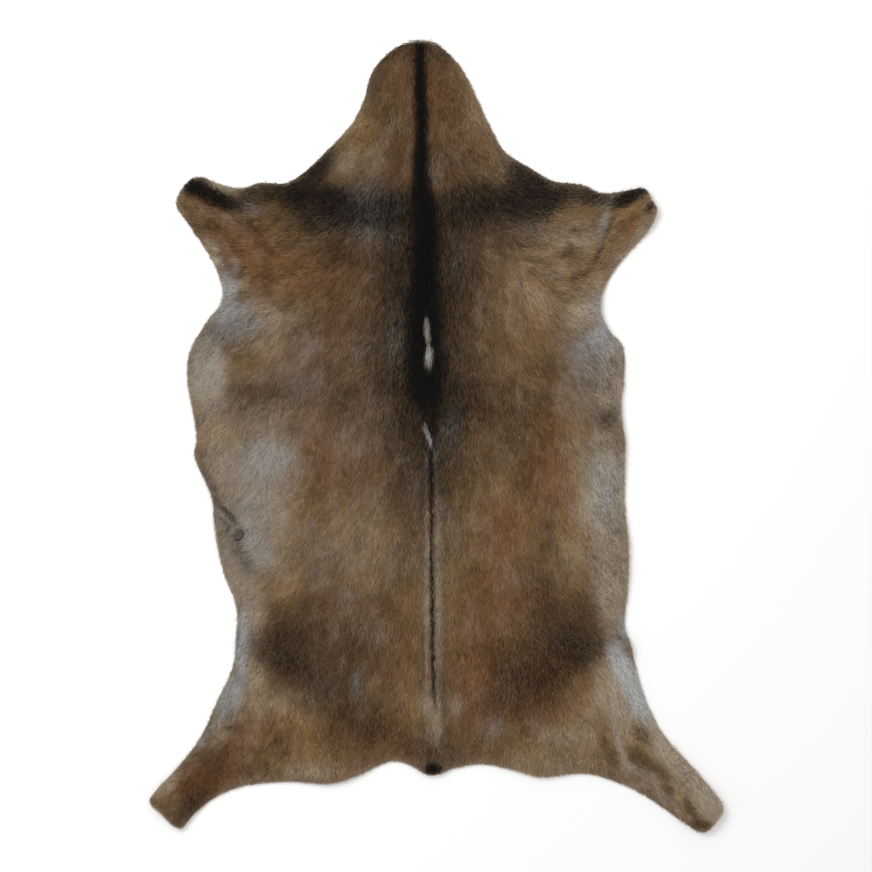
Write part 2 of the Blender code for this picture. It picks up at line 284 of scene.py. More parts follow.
# Marks of the coat's pigments, washes that build up: place, centre x, centre y, half length, half width,
# heading, edge (1 soft to 3 crisp), strength
BLACK_MARKS = (
    ("neck, beside the stripe", -20, 400, 140, 30, 90, 1.1, 0.25),
    ("neck tip", -20, 500, 44, 9, 0, 1.5, 0.80),
    ("neck's top", -4, 486, 60, 22, 0, 1.4, 0.48),
    ("neck's rim, left", -52, 485, 30, 4.5, 36, 1.5, 0.38),
    ("neck's rim, right", 9, 486, 28, 4.5, -36, 1.5, 0.38),
    ("neck's right root", 30, 348, 38, 20, -8, 1.3, 0.50),
    ("left shoulder", -148, 292, 54, 33, -16, 2.4, 0.88),
    ("left shoulder's top", -151, 340, 34, 18, 40, 1.8, 0.86),
    ("left shoulder's front", -192, 307, 38, 15, -8, 1.6, 0.66),
    ("left bridge", -72, 284, 58, 36, 0, 1.8, 0.87),
    ("left shoulder's inner part", -126, 305, 17, 13, 0, 1.4, 0.62),
    ("left bridge's foot", -56, 215, 60, 24, 90, 1.2, 0.42),
    ("behind the left fore hoof", -234, 298, 24, 17, 0, 1.5, 0.50),
    ("right shoulder", 110, 296, 52, 32, 2, 2.2, 0.87),
    ("right shoulder's top", 114, 327, 36, 16, -25, 1.7, 0.74),
    ("right shoulder's point", 150, 300, 24, 14, 35, 1.5, 0.50),
    ("right bridge", 44, 290, 52, 36, 6, 1.6, 0.80),
    ("right upper edge", 186, 304, 42, 14, -6, 1.4, 0.68),
    ("right foreleg's root", 204, 299, 20, 9, 0, 1.3, 0.30),
    ("left fore hoof's stripe", -279, 300, 38, 12.3, -27, 2.5, 0.97),
    ("left fore hoof's tip", -305, 314, 19, 14, 0, 2.2, 0.97),
    ("right fore hoof's stripe", 241, 300, 25, 10.5, 27, 2.2, 0.97),
    ("right fore hoof's top", 257, 310, 14, 5, 3, 2.0, 0.90),
    # Painted shadow beside the nail slit
    ("painted shadow beside the nail slit", 268, 288, 9, 5, 60, 1.8, 0.80),
    # Painted shade in the right shank's crease, in this mark and the next
    ("right shank crease", 202, 232, 30, 2.5, 64, 1.8, 0.20),
    ("right shank crease's foot", 184, 203, 14, 4, 30, 1.4, 0.20),
    ("halo on the chest", -18, 165, 130, 54, 90, 1.4, 0.82),
    ("halo on the loin", -14, 42, 84, 58, 90, 1.3, 0.72),
    ("halo, right of the loin", 30, 32, 42, 28, 90, 1.3, 0.38),
    ("halo at the stripe's end", -14, -50, 60, 40, 90, 1.2, 0.54),
    ("left ribs", -96, 130, 140, 56, 90, 1.3, 0.20),
    ("left upper arm", -154, 248, 66, 30, -16, 1.4, 0.46),
    ("left foreleg's shadow", -294, 260, 34, 26, -50, 1.3, 0.36),
    ("left foreleg's front", -252, 300, 34, 14, 0, 1.3, 0.20),
    ("left foreleg's middle", -243, 266, 24, 18, 0, 1.3, 0.30),
    ("neck's left side", -54, 392, 38, 22, 90, 1.3, 0.28),
    ("left of the chest", -54, 214, 46, 20, 90, 1.3, 0.20),
    ("left of the loin", -64, 70, 34, 34, 90, 1.2, 0.26),
    ("left ribs' foot", -124, 54, 28, 30, 0, 1.4, 0.24),
    ("left ribs' end", -163, 7, 22, 14, 0, 1.4, 0.24),
    ("right shoulder's foot", 114, 252, 52, 28, 0, 1.3, 0.42),
    ("right of the chest", 32, 216, 84, 28, 90, 1.2, 0.54),
    ("left elbow smudge", -219, 52, 42, 20, -4, 1.3, 0.30),
    ("left belly's front shade", -236, 22, 20, 26, 90, 1.3, 0.18),
    ("left armpit's grey", -262, 136, 30, 11, 15, 1.4, 0.22),
    ("right loin", 92, 27, 58, 56, 0, 1.3, 0.32),
    ("right belly", 214, 24, 15, 14, 90, 1.6, 0.42),
    ("right armpit", 205, 80, 36, 24, 90, 1.2, 0.22),
    ("right edge, a nick", 227, -70, 9, 4, 60, 1.4, 0.30),
    ("right edge, a wart", 226, -120, 8, 5, 30, 1.4, 0.40),
    ("left flank's edge", -286, -61, 28, 6.5, -64, 2.2, 0.42),
    # Painted shade in the left flank's crease and wrinkles, in this mark and the next three
    ("left flank crease's start", -276, -86, 11, 5.0, -45, 1.6, 0.48),
    ("left flank crease", -261, -100, 15, 4.2, -50, 2.0, 0.62),
    ("left flank's first wrinkle", -271, -106, 11, 1.5, -34, 1.6, 0.42),
    ("left flank's second wrinkle", -265, -112, 9, 1.5, -62, 1.6, 0.36),
    ("left flank's edge, lower", -281, -96, 18, 2.6, 94, 1.6, 0.36),
    ("left flank's wrinkled skin", -265, -112, 18, 12, -45, 1.4, 0.26),
    ("round the teat", -249, -125, 10, 9, 75, 1.8, 0.40),
    ("below the teat", -244, -154, 28, 11, -60, 1.4, 0.50),
    ("left thigh", -195, -269, 42, 34, -14, 2.6, 0.44),
    ("left thigh's core", -202, -268, 26, 18, 0, 1.4, 0.22),
    ("left thigh's upper part", -164, -232, 46, 26, 0, 1.4, 0.32),
    ("left thigh's lower part", -168, -302, 40, 18, -30, 1.8, 0.40),
    ("left thigh's foot", -164, -338, 22, 14, -10, 1.4, 0.22),
    ("left thigh's inner part", -110, -266, 42, 44, 0, 1.3, 0.34),
    ("left thigh's tail", -116, -334, 54, 32, -40, 1.5, 0.40),
    ("left rump's foot", -84, -376, 66, 24, 0, 1.3, 0.36),
    ("right thigh", 176, -266, 41, 31, 6, 2.4, 0.47),
    ("right thigh's core", 176, -270, 38, 18, 10, 1.6, 0.22),
    ("right thigh's foot", 154, -300, 36, 19, 34, 1.8, 0.28),
    ("right thigh's upper part", 156, -224, 42, 34, 0, 1.4, 0.42),
    ("right thigh's middle", 94, -278, 52, 40, 0, 1.4, 0.38),
    ("right thigh's tail", 108, -322, 58, 42, 14, 1.8, 0.46),
    ("right groin's skin", 234, -254, 11, 4.5, -50, 1.8, 0.30),
    ("left groin's skin", -250, -258, 16, 2.2, 84, 1.6, 0.28),
    ("tail", -5, -420, 13, 9, 0, 2.4, 1.00),
    ("tail root", -8, -399, 34, 20, 0, 1.3, 0.52),
    ("left shank", -293, -434, 42, 20, 50, 2.4, 0.26),
    ("left hind hoof's lower edge", -312, -468, 30, 13, 50, 1.4, 0.42),
    ("left hock", -250, -412, 36, 14, 20, 1.3, 0.10),
    ("right hind hoof's foot", 330, -488, 13, 8, 10, 1.6, 0.34),
    ("right buttock's shade", 96, -382, 50, 18, 0, 1.3, 0.26),
    ("right croup", 26, -150, 40, 18, 90, 1.2, 0.20),
    ("right flank's shade", 214, -160, 34, 16, 90, 1.4, 0.21),
    ("left ribs' front", -165, 152, 22, 18, 0, 1.4, 0.18),
    ("right croup, outer part", 134, -188, 22, 20, 0, 1.4, 0.14),
    ("withers, beside the stripe", -14, 345, 24, 22, 0, 1.3, 0.26),
    ("left croup", -52, -187, 24, 20, 0, 1.4, 0.16),
    ("halo's left foot", -54, 2, 26, 22, 0, 1.4, 0.24),
    ("left foreleg's root", -203, 302, 20, 12, 0, 1.4, 0.30),
    ("neck's left edge", -84, 418, 20, 13, 62, 1.4, 0.18),
    ("right rump's shade", 62, -340, 20, 16, 0, 1.4, 0.18),
    ("right loin's back", 70, -20, 30, 24, 0, 1.2, 0.12),
    ("left rump's shade", -72, -272, 34, 30, 90, 1.2, 0.16),
    ("left buttock's shade", -202, -380, 30, 16, 0, 1.3, 0.16),
)
PALE_MARKS = (
    ("left armpit", -264, 176, 42, 13, 82, 1.8, 0.92),
    ("left armpit's foot", -260, 153, 30, 14, 20, 1.6, 0.72),
    ("left armpit's back", -252, 134, 34, 14, 15, 1.4, 0.56),
    ("left bridge's grey", -84, 280, 34, 34, 0, 1.4, 0.46),
    ("left front edge", -290, 88, 44, 20, 92, 1.4, 0.40),
    ("right armpit's front", 207, 160, 20, 14, 100, 1.6, 0.76),
    ("left belly's front", -214, -30, 32, 24, 8, 1.4, 0.62),
    ("left belly", -232, -88, 66, 34, 84, 1.1, 0.34),
    ("left belly's back", -222, -144, 32, 17, -60, 1.3, 0.47),
    ("skin by the teat", -270, -108, 24, 12, 110, 1.4, 0.20),
    ("left groin", -245, -264, 48, 10, 88, 2.4, 0.96),
    ("left groin's foot", -261, -328, 30, 16, 66, 1.8, 0.94),
    ("left hock's outer edge", -288, -374, 30, 5, 52, 1.4, 0.45),
    ("right armpit", 212, 118, 26, 18, -10, 1.7, 0.76),
    ("right armpit's spot", 205, 128, 19, 9, 40, 2.0, 0.90),
    ("left ribs' front", -165, 114, 24, 20, 0, 1.4, 0.17),
    ("right armpit's inner part", 190, 108, 30, 14, 10, 1.3, 0.35),
    ("right side's mottle", 194, 84, 40, 26, 90, 1.2, 0.36),
    ("right edge", 214, -66, 44, 19, 90, 1.4, 0.74),
    ("right groin", 239, -300, 46, 15, 117, 2.4, 0.95),
    ("right groin's foot", 256, -338, 24, 14, 124, 2.0, 0.88),
    ("right groin's front", 238, -244, 20, 10, 90, 1.6, 0.80),
    ("right pastern", 211, 268, 19, 6.5, 76, 1.7, 0.52),
    ("streak behind the stripe", -10, -1, 17, 3.6, -70, 1.7, 0.92),
    ("streak's foot, left", -12, -32, 18, 2.2, 90, 1.3, 0.55),
    ("streak's foot, right", -2, -24, 14, 2.2, 85, 1.3, 0.45),
    ("behind the left fore hoof", -234, 288, 16, 10, 0, 1.4, 0.24),
    ("right hock's inner streak", 229, -380, 28, 4, -72, 1.6, 0.46),
    ("right shank's upper streak", 252, -421, 22, 6, -30, 1.6, 0.46),
    ("right shank's lower streak", 288, -459, 24, 6, -38, 1.6, 0.20),
    ("fleck in the left thigh", -101, -311, 16, 7, 90, 1.2, 0.35),
    ("fleck in the right thigh", 71, -370, 20, 9, 75, 1.3, 0.20),
    ("halo's grey, left", -50, 120, 30, 12, 90, 1.2, 0.30),
    ("left ribs' grey", -170, 64, 40, 30, 0, 1.3, 0.18),
    ("left ribs' middle", -90, 114, 24, 24, 0, 1.3, 0.12),
    ("right foreleg's root", 212, 294, 16, 10, 0, 1.4, 0.16),
    ("left loin's grey", -106, 0, 36, 50, 0, 1.2, 0.10),
    ("left croup's grey", -130, -150, 110, 36, 0, 1.2, 0.15),
    ("halo's grey, right", 18, 10, 26, 12, 80, 1.2, 0.30),
)
CREAM_MARKS = (
    ("left foreleg's upper edge", -270, 313, 26, 6, -20, 2.0, 0.55),
    ("left foreleg's lower edge", -277, 220, 34, 8, -66, 1.8, 0.80),
    ("left front edge", -288, 78, 48, 25, 92, 2.4, 0.80),
    ("behind the left armpit", -226, 118, 38, 18, 0, 1.3, 0.30),
    ("left front edge's lower part", -284, 28, 40, 26, 90, 1.6, 0.38),
    ("left of the line's end", -14, -338, 16, 12, 90, 1.4, 0.28),
    ("left belly", -228, -56, 96, 46, 88, 1.3, 0.62),
    ("left flank", -250, -170, 60, 24, 95, 1.3, 0.55),
    ("left groin", -228, -270, 80, 14, 90, 1.5, 0.65),
    ("left hock", -262, -356, 42, 16, 58, 1.4, 0.52),
    ("left thigh's foot", -205, -338, 26, 16, 0, 1.3, 0.35),
    ("left buttock's foot", -158, -423, 34, 12, 0, 1.3, 0.45),
    ("neck's left root", -116, 346, 20, 14, 30, 1.5, 0.40),
    ("neck's right root", 92, 346, 16, 8, 40, 1.4, 0.20),
    ("right upper arm", 168, 262, 56, 24, -20, 1.3, 0.14),
    ("right forearm's lower edge", 250, 247, 44, 7, 50, 1.6, 0.55),
    ("right armpit's front", 186, 156, 32, 24, 60, 1.3, 0.66),
    ("right front edge", 224, 66, 58, 24, 92, 1.6, 0.72),
    ("right edge", 214, -72, 72, 34, 90, 1.8, 0.96),
    ("right edge's foot", 222, -186, 70, 26, 90, 1.7, 0.72),
    ("right groin", 232, -330, 54, 24, 117, 1.7, 0.74),
    ("right thigh's foot", 206, -342, 36, 22, 60, 1.5, 0.24),
    ("right buttock's foot", 150, -412, 60, 16, 0, 1.3, 0.30),
    ("right hind leg", 268, -428, 72, 26, 145, 1.3, 0.50),
    ("left hind hoof", -342, -440, 20, 11, 45, 1.6, 0.60),
    ("right shank's front", 300, -384, 34, 22, 130, 1.6, 0.60),
    ("right buttock's side", 164, -380, 34, 16, 0, 1.5, 0.50),
    ("right elbow", 204, 190, 24, 20, 0, 1.4, 0.30),
    ("right ribs' end", 176, -18, 34, 18, 90, 1.4, 0.24),
    ("right flank", 172, -150, 24, 18, 90, 1.4, 0.30),
    ("right edge, inner part", 206, 0, 20, 14, 90, 1.4, 0.34),
    ("left loin", -90, -96, 28, 34, 0, 1.4, 0.20),
    ("left belly's inner edge", -168, -38, 20, 14, 0, 1.4, 0.24),
    ("left elbow", -244, 188, 12, 18, 0, 1.4, 0.32),
    ("beside the rump", 22, -338, 18, 12, 90, 1.4, 0.24),
    ("left armpit's side", -208, 150, 34, 20, 0, 1.4, 0.42),
    ("left belly's edge", -276, -32, 30, 18, 90, 1.4, 0.50),
    ("right upper arm's front", 180, 250, 46, 20, 0, 1.4, 0.34),
    ("right shoulder", 130, 204, 70, 50, 90, 1.4, 0.17),
    ("right hock's outer edge", 306, -404, 92, 22, 131, 2.1, 0.97),
    ("right hind hoof", 347, -460, 30, 24, 130, 1.7, 0.92),
    ("beside the thin line, left", -12, -190, 176, 3.4, 90, 1.4, 0.45),
    ("beside the thin line, right", 1.5, -190, 180, 5.5, 90, 1.3, 0.42),
    ("below the thin line", -2, -355, 30, 9, 90, 1.3, 0.45),
)
TAN_MARKS = (
    ("neck", -20, 410, 110, 70, 90, 1.4, 0.14),
    ("neck's left edge", -104, 376, 48, 22, 62, 1.5, 0.62),
    ("neck's right edge", 50, 395, 60, 18, 108, 1.4, 0.62),
    ("right loin's middle", 98, -112, 26, 22, 0, 1.4, 0.40),
    ("neck's right root", 76, 362, 26, 12, 0, 1.3, 0.20),
    ("left foreleg", -266, 252, 76, 34, -52, 2.2, 0.76),
    ("left upper arm", -196, 222, 66, 52, -30, 1.5, 0.66),
    ("left elbow", -222, 100, 44, 30, 0, 1.2, 0.40),
    ("right shoulder", 142, 200, 74, 56, 90, 1.8, 0.72),
    ("right upper arm", 180, 270, 44, 24, 0, 1.4, 0.60),
    ("right forearm", 232, 252, 56, 26, 52, 1.6, 0.85),
    ("right chest", 110, 90, 60, 46, 90, 1.3, 0.45),
    ("right loin", 84, -108, 72, 40, 90, 1.4, 0.75),
    ("right flank", 172, -70, 110, 24, 90, 1.6, 0.86),
    ("right elbow", 204, 190, 26, 22, 0, 1.4, 0.50),
    ("left loin", -104, -140, 84, 56, 0, 1.3, 0.62),
    ("left belly's inner edge", -188, -138, 76, 32, 90, 1.6, 0.88),
    ("left front edge's lower part", -280, 3, 26, 15, 0, 1.6, 0.90),
    ("left groin's inner edge", -226, -290, 70, 18, 88, 1.4, 0.80),
    ("left buttock", -200, -362, 80, 36, -8, 1.5, 0.85),
    ("left buttock's lower edge", -160, -412, 60, 20, 0, 1.3, 0.70),
    ("left hind hoof", -340, -446, 26, 15, 45, 1.6, 0.92),
    ("left of the thin line", -34, -285, 120, 20, 90, 1.5, 0.56),
    ("right of the thin line", 26, -230, 110, 20, 90, 1.4, 0.42),
    ("right buttock", 160, -390, 104, 40, 0, 1.6, 0.92),
    ("right groin's inner edge", 196, -322, 46, 30, 60, 1.5, 0.90),
    ("right hind leg", 280, -418, 96, 36, 140, 1.6, 0.95),
)
RUST_MARKS = (
    ("neck", -22, 420, 96, 46, 90, 1.2, 0.58),
    ("left ribs, low", -154, -6, 52, 24, 90, 1.2, 0.66),
    ("left ribs", -120, 170, 110, 60, 90, 1.0, 0.30),
    ("left loin's front", -110, -40, 70, 50, 80, 1.0, 0.40),
    ("right thigh's upper part", 160, -212, 40, 34, 0, 1.3, 0.50),
    ("right thigh's tail", 118, -322, 56, 46, 20, 1.5, 0.85),
    ("tail root", -8, -398, 30, 14, 0, 1.4, 0.60),
    ("neck's right root", 28, 345, 34, 24, 0, 1.3, 0.80),
    ("right ribs", 142, -20, 60, 30, 90, 1.3, 0.66),
    ("right loin", 68, -180, 90, 36, 90, 1.2, 0.55),
    ("right loin's front", 100, -112, 26, 24, 0, 1.4, 0.34),
    ("right flank", 150, -74, 30, 24, 0, 1.4, 0.36),
    ("right shoulder's back", 98, 190, 30, 26, 0, 1.4, 0.28),
    ("right of the loin", 66, 10, 40, 36, 90, 1.3, 0.45),
    ("right rump's front", 61, -263, 26, 24, 0, 1.4, 0.45),
    ("left thigh's front", -127, -225, 30, 22, 0, 1.4, 0.40),
    ("right flank's edge", 174, -74, 24, 18, 90, 1.4, 0.32),
    ("right elbow", 204, 190, 24, 20, 0, 1.4, 0.25),
    ("right rump", 56, -318, 76, 32, 90, 1.3, 0.84),
    ("right thigh's inner part", 98, -263, 32, 28, 0, 1.4, 0.45),
    ("left rump", -70, -280, 80, 34, 90, 1.2, 0.40),
    ("left rump's foot", -70, -374, 64, 34, 0, 1.4, 0.60),
    ("left hind leg", -275, -420, 84, 28, 42, 1.4, 0.80),
    ("left foreleg", -266, 252, 78, 36, -52, 1.5, 0.60),
    ("left upper arm", -190, 220, 70, 50, -30, 1.3, 0.42),
    ("right forearm", 238, 250, 50, 20, 52, 1.5, 0.45),
    ("right loin's back", 100, -222, 26, 20, 0, 1.4, 0.45),
)
WHITE_MARKS = (
    ("streak behind the stripe", -10, -1, 15, 2.6, -70, 1.8, 0.70),
    ("right groin", 241, -302, 42, 13, 117, 2.0, 0.95),
    ("right groin's foot", 257, -340, 20, 10, 122, 2.0, 0.70),
    ("spine mark, upper wedge", -11.6, 131.5, 17.5, 3.6, 95, 2.0, 0.70),
    ("spine mark, lower blob", -9.6, 99.5, 15, 5.4, 88, 2.0, 0.82),
)
# Brown in the same columns, over every lighter pigment and under the black
BROWN_MARKS = (
    ("left thigh", -188, -271, 48, 40, -10, 2.6, 0.80),
    ("right rump", 62, -340, 22, 18, 0, 1.6, 0.50),
    ("right thigh's inner part", 134, -266, 30, 26, 0, 1.6, 0.35),
    ("right thigh", 168, -253, 45, 43, 0, 2.4, 0.80),
    ("right thigh's lower part", 134, -312, 48, 40, 30, 2.0, 0.65),
    ("left elbow", -219, 57, 38, 14, -4, 1.6, 0.50),
    ("left foreleg, 1", -282, 264, 14, 6, -30, 2.2, 0.80),
    ("left foreleg, 2", -251, 238, 15, 6, -45, 2.2, 0.85),
    ("left foreleg, 3", -227, 256, 17, 7.5, -45, 2.2, 0.85),
    ("left foreleg, 4", -212, 234, 16, 6, -40, 2.2, 0.85),
    ("left foreleg, 5", -214, 198, 14, 8, 100, 2.0, 0.60),
    ("left upper arm, 1", -199, 274, 15, 5, -10, 1.8, 0.70),
    ("left upper arm, 2", -187, 208, 15, 6, -35, 2.0, 0.70),
    ("left upper arm, 3", -159, 262, 16, 9, -30, 2.0, 0.85),
    ("left upper arm, 4", -130, 235, 17, 11, -60, 2.0, 0.90),
    ("left upper arm, 5", -106, 219, 10, 8, 0, 1.8, 0.70),
    ("left upper arm, 6", -193, 161, 10, 6, 0, 1.8, 0.60),
    ("left upper arm, 7", -134, 183, 13, 10, 90, 1.8, 0.65),
    # Painted shade along the right shank's crease, where the coat parts, in this mark and the next two
    ("right shank's line, top", 218, 264, 20, 3.0, 68, 1.8, 0.85),
    ("right shank's line, middle", 204, 229, 17, 3.8, 66, 2.0, 0.90),
    ("right shank's line, foot", 182, 203, 18, 5.5, 25, 2.0, 0.85),
    ("right forearm, 1", 238, 238, 18, 6, 40, 1.8, 0.42),
    ("right forearm, 2", 242, 271, 18, 7, 45, 1.8, 0.38),
    ("right upper arm, 1", 175, 258, 8, 5, 0, 2.0, 0.65),
    ("right upper arm, 2", 169, 230, 11, 10, 60, 2.0, 0.65),
    ("right shoulder, 1", 121, 222, 13, 5, 0, 2.2, 0.75),
    ("right shoulder, 2", 122, 207, 6, 8, 0, 2.2, 0.75),
    ("right shoulder, 3", 72, 238, 9, 6, 0, 2.0, 0.65),
    ("right shoulder, 4", 58, 208, 16, 13, 0, 1.8, 0.65),
    ("left shank", -293, -434, 44, 21, 50, 2.6, 0.85),
    ("left hock, 1", -262, -394, 13, 9, 50, 2.0, 0.65),
    ("left hock, 2", -253, -369, 15, 6, 0, 2.0, 0.60),
    ("left hock, 3", -234, -396, 10, 6, 0, 2.0, 0.55),
    ("left buttock, 1", -202, -385, 13, 6, 45, 2.0, 0.55),
    ("left buttock, 2", -192, -400, 13, 6, 30, 2.0, 0.55),
    ("right hock, 1", 216, -396, 25, 10, -60, 2.2, 0.64),
    ("right hock, 2", 258, -376, 18, 10, -50, 2.2, 0.60),
    ("right hock, 3", 254, -405, 22, 12, -40, 2.4, 0.80),
    ("right shank, 1", 282, -424, 18, 8.5, -45, 2.2, 0.68),
    ("right shank, 2", 292, -445, 10, 6, -35, 2.2, 0.80),
    ("right shank, 3", 320, -469, 20, 6, -60, 2.2, 0.75),
    ("right hind hoof's foot", 333, -489, 13, 7, 0, 2.0, 0.80),
)

# Cream hairs along the rim, up to the neck's tip, in millimetres
RIM_CREAM_SHARE = 0.22
RIM_CREAM_WIDTH = 20.0
RIM_CREAM_END, RIM_CREAM_FADE = 470.0, 60.0

# Where the coat is mottled with brown, in the columns of the marks
MOTTLED = (
    ("left foreleg", -250, 245, 90, 60, -50, 1.5, 0.55),
    ("left upper arm", -180, 215, 90, 70, -20, 1.5, 0.60),
    ("right shoulder", 160, 215, 90, 70, 30, 1.4, 0.50),
    ("right armpit", 200, 60, 60, 40, 90, 1.3, 0.45),
    ("left hind leg", -260, -400, 100, 50, 45, 1.4, 0.60),
    ("right hind leg", 240, -416, 100, 30, 145, 1.6, 0.50),
    ("right edge", 215, -60, 130, 30, 90, 1.3, 0.25),
    ("back", 0, -80, 260, 190, 90, 1.5, 0.20),
)

# The mottle's blotches and their grain, each a pitch in millimetres and a seed, and what they make of a hair
MOTTLE, MOTTLE_GRAIN = (10.0, 43), (5.0, 44)
MOTTLE_GRAIN_SHARE = 0.5
MOTTLE_EDGE = 0.35
BROWN_IN_MOTTLE = 0.75
BLACK_IN_MOTTLE = 0.24
BLACK_IN_BROWN = 0.20

# Noise in the coat's colours, each a pitch in millimetres and a seed. All but the hue are drawn out along the
# lie of the coat.
BROAD_WISPS, MIDDLE_WISPS, FINE_WISPS = (26.0, 50), (9.0, 51), (4.0, 52)
WARMTH, HUE = (13.0, 54), (40.0, 53)

# What that noise adds to each pigment's share: always, then for the broad, middle and fine wisps, the warmth
# and the hue
DRIFT = {
    "black": (0.08, 0.13, 0.07, 0.07, 0.0, 0.0),
    "pale": (-0.02, -0.08, 0.0, 0.0, 0.10, 0.0),
    "cream": (0.03, 0.0, -0.05, -0.06, 0.05, 0.0),
    "tan": (0.0, 0.0, -0.12, 0.0, 0.0, 0.28),
    "rust": (0.0, 0.0, 0.0, 0.0, 0.20, -0.22),
}

# The studio, in metres and watts
FLOOR_SIZE = 8.0
FLOOR_GAP = 0.0003
FLOOR_COLOUR = (0.93, 0.93, 0.93, 1.0)
SKY_COLOUR = (1.0, 1.0, 1.0, 1.0)
SKY_STRENGTH = 0.80
SOFT_BOX_WIDTH = 1.6
SOFT_BOX_POWER = 34.0
SOFT_BOX_PLACE = (-1.3, 1.1, 1.9)

# The camera, in millimetres of lens and film, and in metres
LENS, FILM_WIDTH = 85.0, 36.0
VIEW_WIDTH = 1.0987
VIEW_ASIDE = -0.00063
COAT_TOP = 0.005


def unit(heading):
    """The direction that lies at a heading in degrees from +X."""
    return np.array((math.cos(math.radians(heading)), math.sin(math.radians(heading))))


def left_of(direction):
    """Each direction turned a quarter to the left."""
    return np.stack([-direction[:, 1], direction[:, 0]], axis=1)


def turned(direction, degrees):
    """Each direction turned to the left by its own angle."""
    angle = np.radians(degrees)[:, None]
    return direction * np.cos(angle) + left_of(direction) * np.sin(angle)


def normalised(vectors):
    """Each vector at length 1."""
    return vectors / np.maximum(np.linalg.norm(vectors, axis=1), 1e-9)[:, None]


def eased(share):
    """0 to 1 with a smooth start and end: 3 s squared less 2 s cubed."""
    share = np.clip(share, 0.0, 1.0)
    return share * share * (3.0 - 2.0 * share)


def noise(points, pitch, seed):
    """Random numbers from -1 to 1 on the corners of a square grid, blended smoothly between them."""
    corners = np.random.default_rng(seed).uniform(-1.0, 1.0, (CELLS, CELLS))
    place = points / pitch
    cell = np.floor(place).astype(int)
    right, up = eased(place - cell).T
    i, j = cell[:, 0] % CELLS, cell[:, 1] % CELLS
    lower = corners[i, j] * (1 - right) + corners[(i + 1) % CELLS, j] * right
    upper = corners[i, (j + 1) % CELLS] * (1 - right) + corners[(i + 1) % CELLS, (j + 1) % CELLS] * right
    return lower * (1 - up) + upper * up


def ellipse_reach(points, x, y, half_length, half_width, heading):
    """Squared distance from an ellipse's centre, counted as 1 on the ellipse itself."""
    reach = points - np.array((x, y))
    along = reach @ unit(heading) / half_length
    across = reach @ unit(heading + 90) / half_width
    return along * along + across * across


def mounds(points, table):
    """The summed height of a table's mounds: (1 - r squared) squared of each height inside its ellipse."""
    total = np.zeros(len(points))
    for _, x, y, half_length, half_width, heading, height in table:
        reach = ellipse_reach(points, x, y, half_length, half_width, heading)
        total += height * np.clip(1.0 - reach, 0.0, None) ** 2
    return total


def wash(points, table):
    """How much of a pigment the marks give: 1 less the product of what each mark leaves bare, where a mark
    covers strength times e to the minus r squared to the power of its edge."""
    bare = np.ones(len(points))
    for _, x, y, half_length, half_width, heading, edge, strength in table:
        reach = ellipse_reach(points, x, y, half_length, half_width, heading)
        bare *= 1.0 - strength * np.exp(-(reach ** edge))
    return 1.0 - bare


class Grid:
    """A quantity kept on a square grid of places, and read between them in proportion."""

    def __init__(self, low, pitch, values):
        self.low, self.pitch, self.values = low, pitch, values

    def at(self, points):
        """The quantity at each point."""
        place = (points - self.low) / self.pitch
        cell = np.clip(np.floor(place).astype(int), 0, np.array(self.values.shape[:2]) - 2)
        right, up = np.clip(place - cell, 0.0, 1.0).T
        i, j = cell.T
        lower = self.values[i, j] * (1 - right) + self.values[i + 1, j] * right
        upper = self.values[i, j + 1] * (1 - right) + self.values[i + 1, j + 1] * right
        return lower * (1 - up) + upper * up


def packed_loops():
    """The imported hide's outline and its nail slit, longest first, in millimetres. They are the open edges of
    the triangles that face down, chained end to end and turned anticlockwise."""
    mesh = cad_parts["goat_hide"].data
    mesh.calc_loop_triangles()
    corners = np.empty(len(mesh.vertices) * 3)
    mesh.vertices.foreach_get("co", corners)
    corners = np.round(corners.reshape(-1, 3) / MILLIMETRE, 3)
    places, place_of = np.unique(corners, axis=0, return_inverse=True)
    triangles = np.empty(len(mesh.loop_triangles) * 3, dtype=np.int32)
    mesh.loop_triangles.foreach_get("vertices", triangles)
    triangles = place_of.reshape(-1)[triangles.reshape(-1, 3)]
    a, b, c = (places[triangles[:, k]] for k in range(3))
    down = np.cross(b - a, c - a)
    triangles = triangles[down[:, 2] < -0.5 * np.linalg.norm(down, axis=1)]
    start = triangles.ravel()
    end = np.roll(triangles, -1, axis=1).ravel()
    open_edge = ~np.isin(start * len(places) + end, end * len(places) + start)
    following = np.full(len(places), -1)
    following[start[open_edge]] = end[open_edge]
    loops = []
    while (following >= 0).any():
        chain = [int(np.argmax(following >= 0))]
        while following[chain[-1]] >= 0:
            step = int(following[chain[-1]])
            following[chain[-1]] = -1
            chain.append(step)
        loops.append(anticlockwise(places[chain[:-1], :2]))
    return sorted(loops, key=len, reverse=True)


def enclosed_area(loop):
    """Half the sum of the cross products of neighbouring points."""
    x, y = loop.T
    return 0.5 * np.sum(x * np.roll(y, -1) - np.roll(x, -1) * y)


def anticlockwise(loop):
    """The loop in the order that encloses a positive area."""
    return loop if enclosed_area(loop) > 0 else loop[::-1]


def smooth_loop(points, pitch):
    """The closed Catmull-Rom curve through the points, read at equal distances."""
    before, after, beyond = np.roll(points, 1, 0), np.roll(points, -1, 0), np.roll(points, -2, 0)
    t = np.linspace(0.0, 1.0, CURVE_STEPS, endpoint=False)[None, :, None]
    p0, p1, p2, p3 = (p[:, None, :] for p in (before, points, after, beyond))
    curve = 0.5 * (2 * p1 + (p2 - p0) * t + (2 * p0 - 5 * p1 + 4 * p2 - p3) * t ** 2
                   + (3 * p1 - p0 - 3 * p2 + p3) * t ** 3)
    ring = curve.reshape(-1, 2)
    ring = np.vstack([ring, ring[:1]])
    along = np.concatenate([[0.0], np.cumsum(np.linalg.norm(np.diff(ring, axis=0), axis=1))])
    places = np.linspace(0.0, along[-1], round(along[-1] / pitch), endpoint=False)
    return np.stack([np.interp(places, along, ring[:, k]) for k in (0, 1)], axis=1)


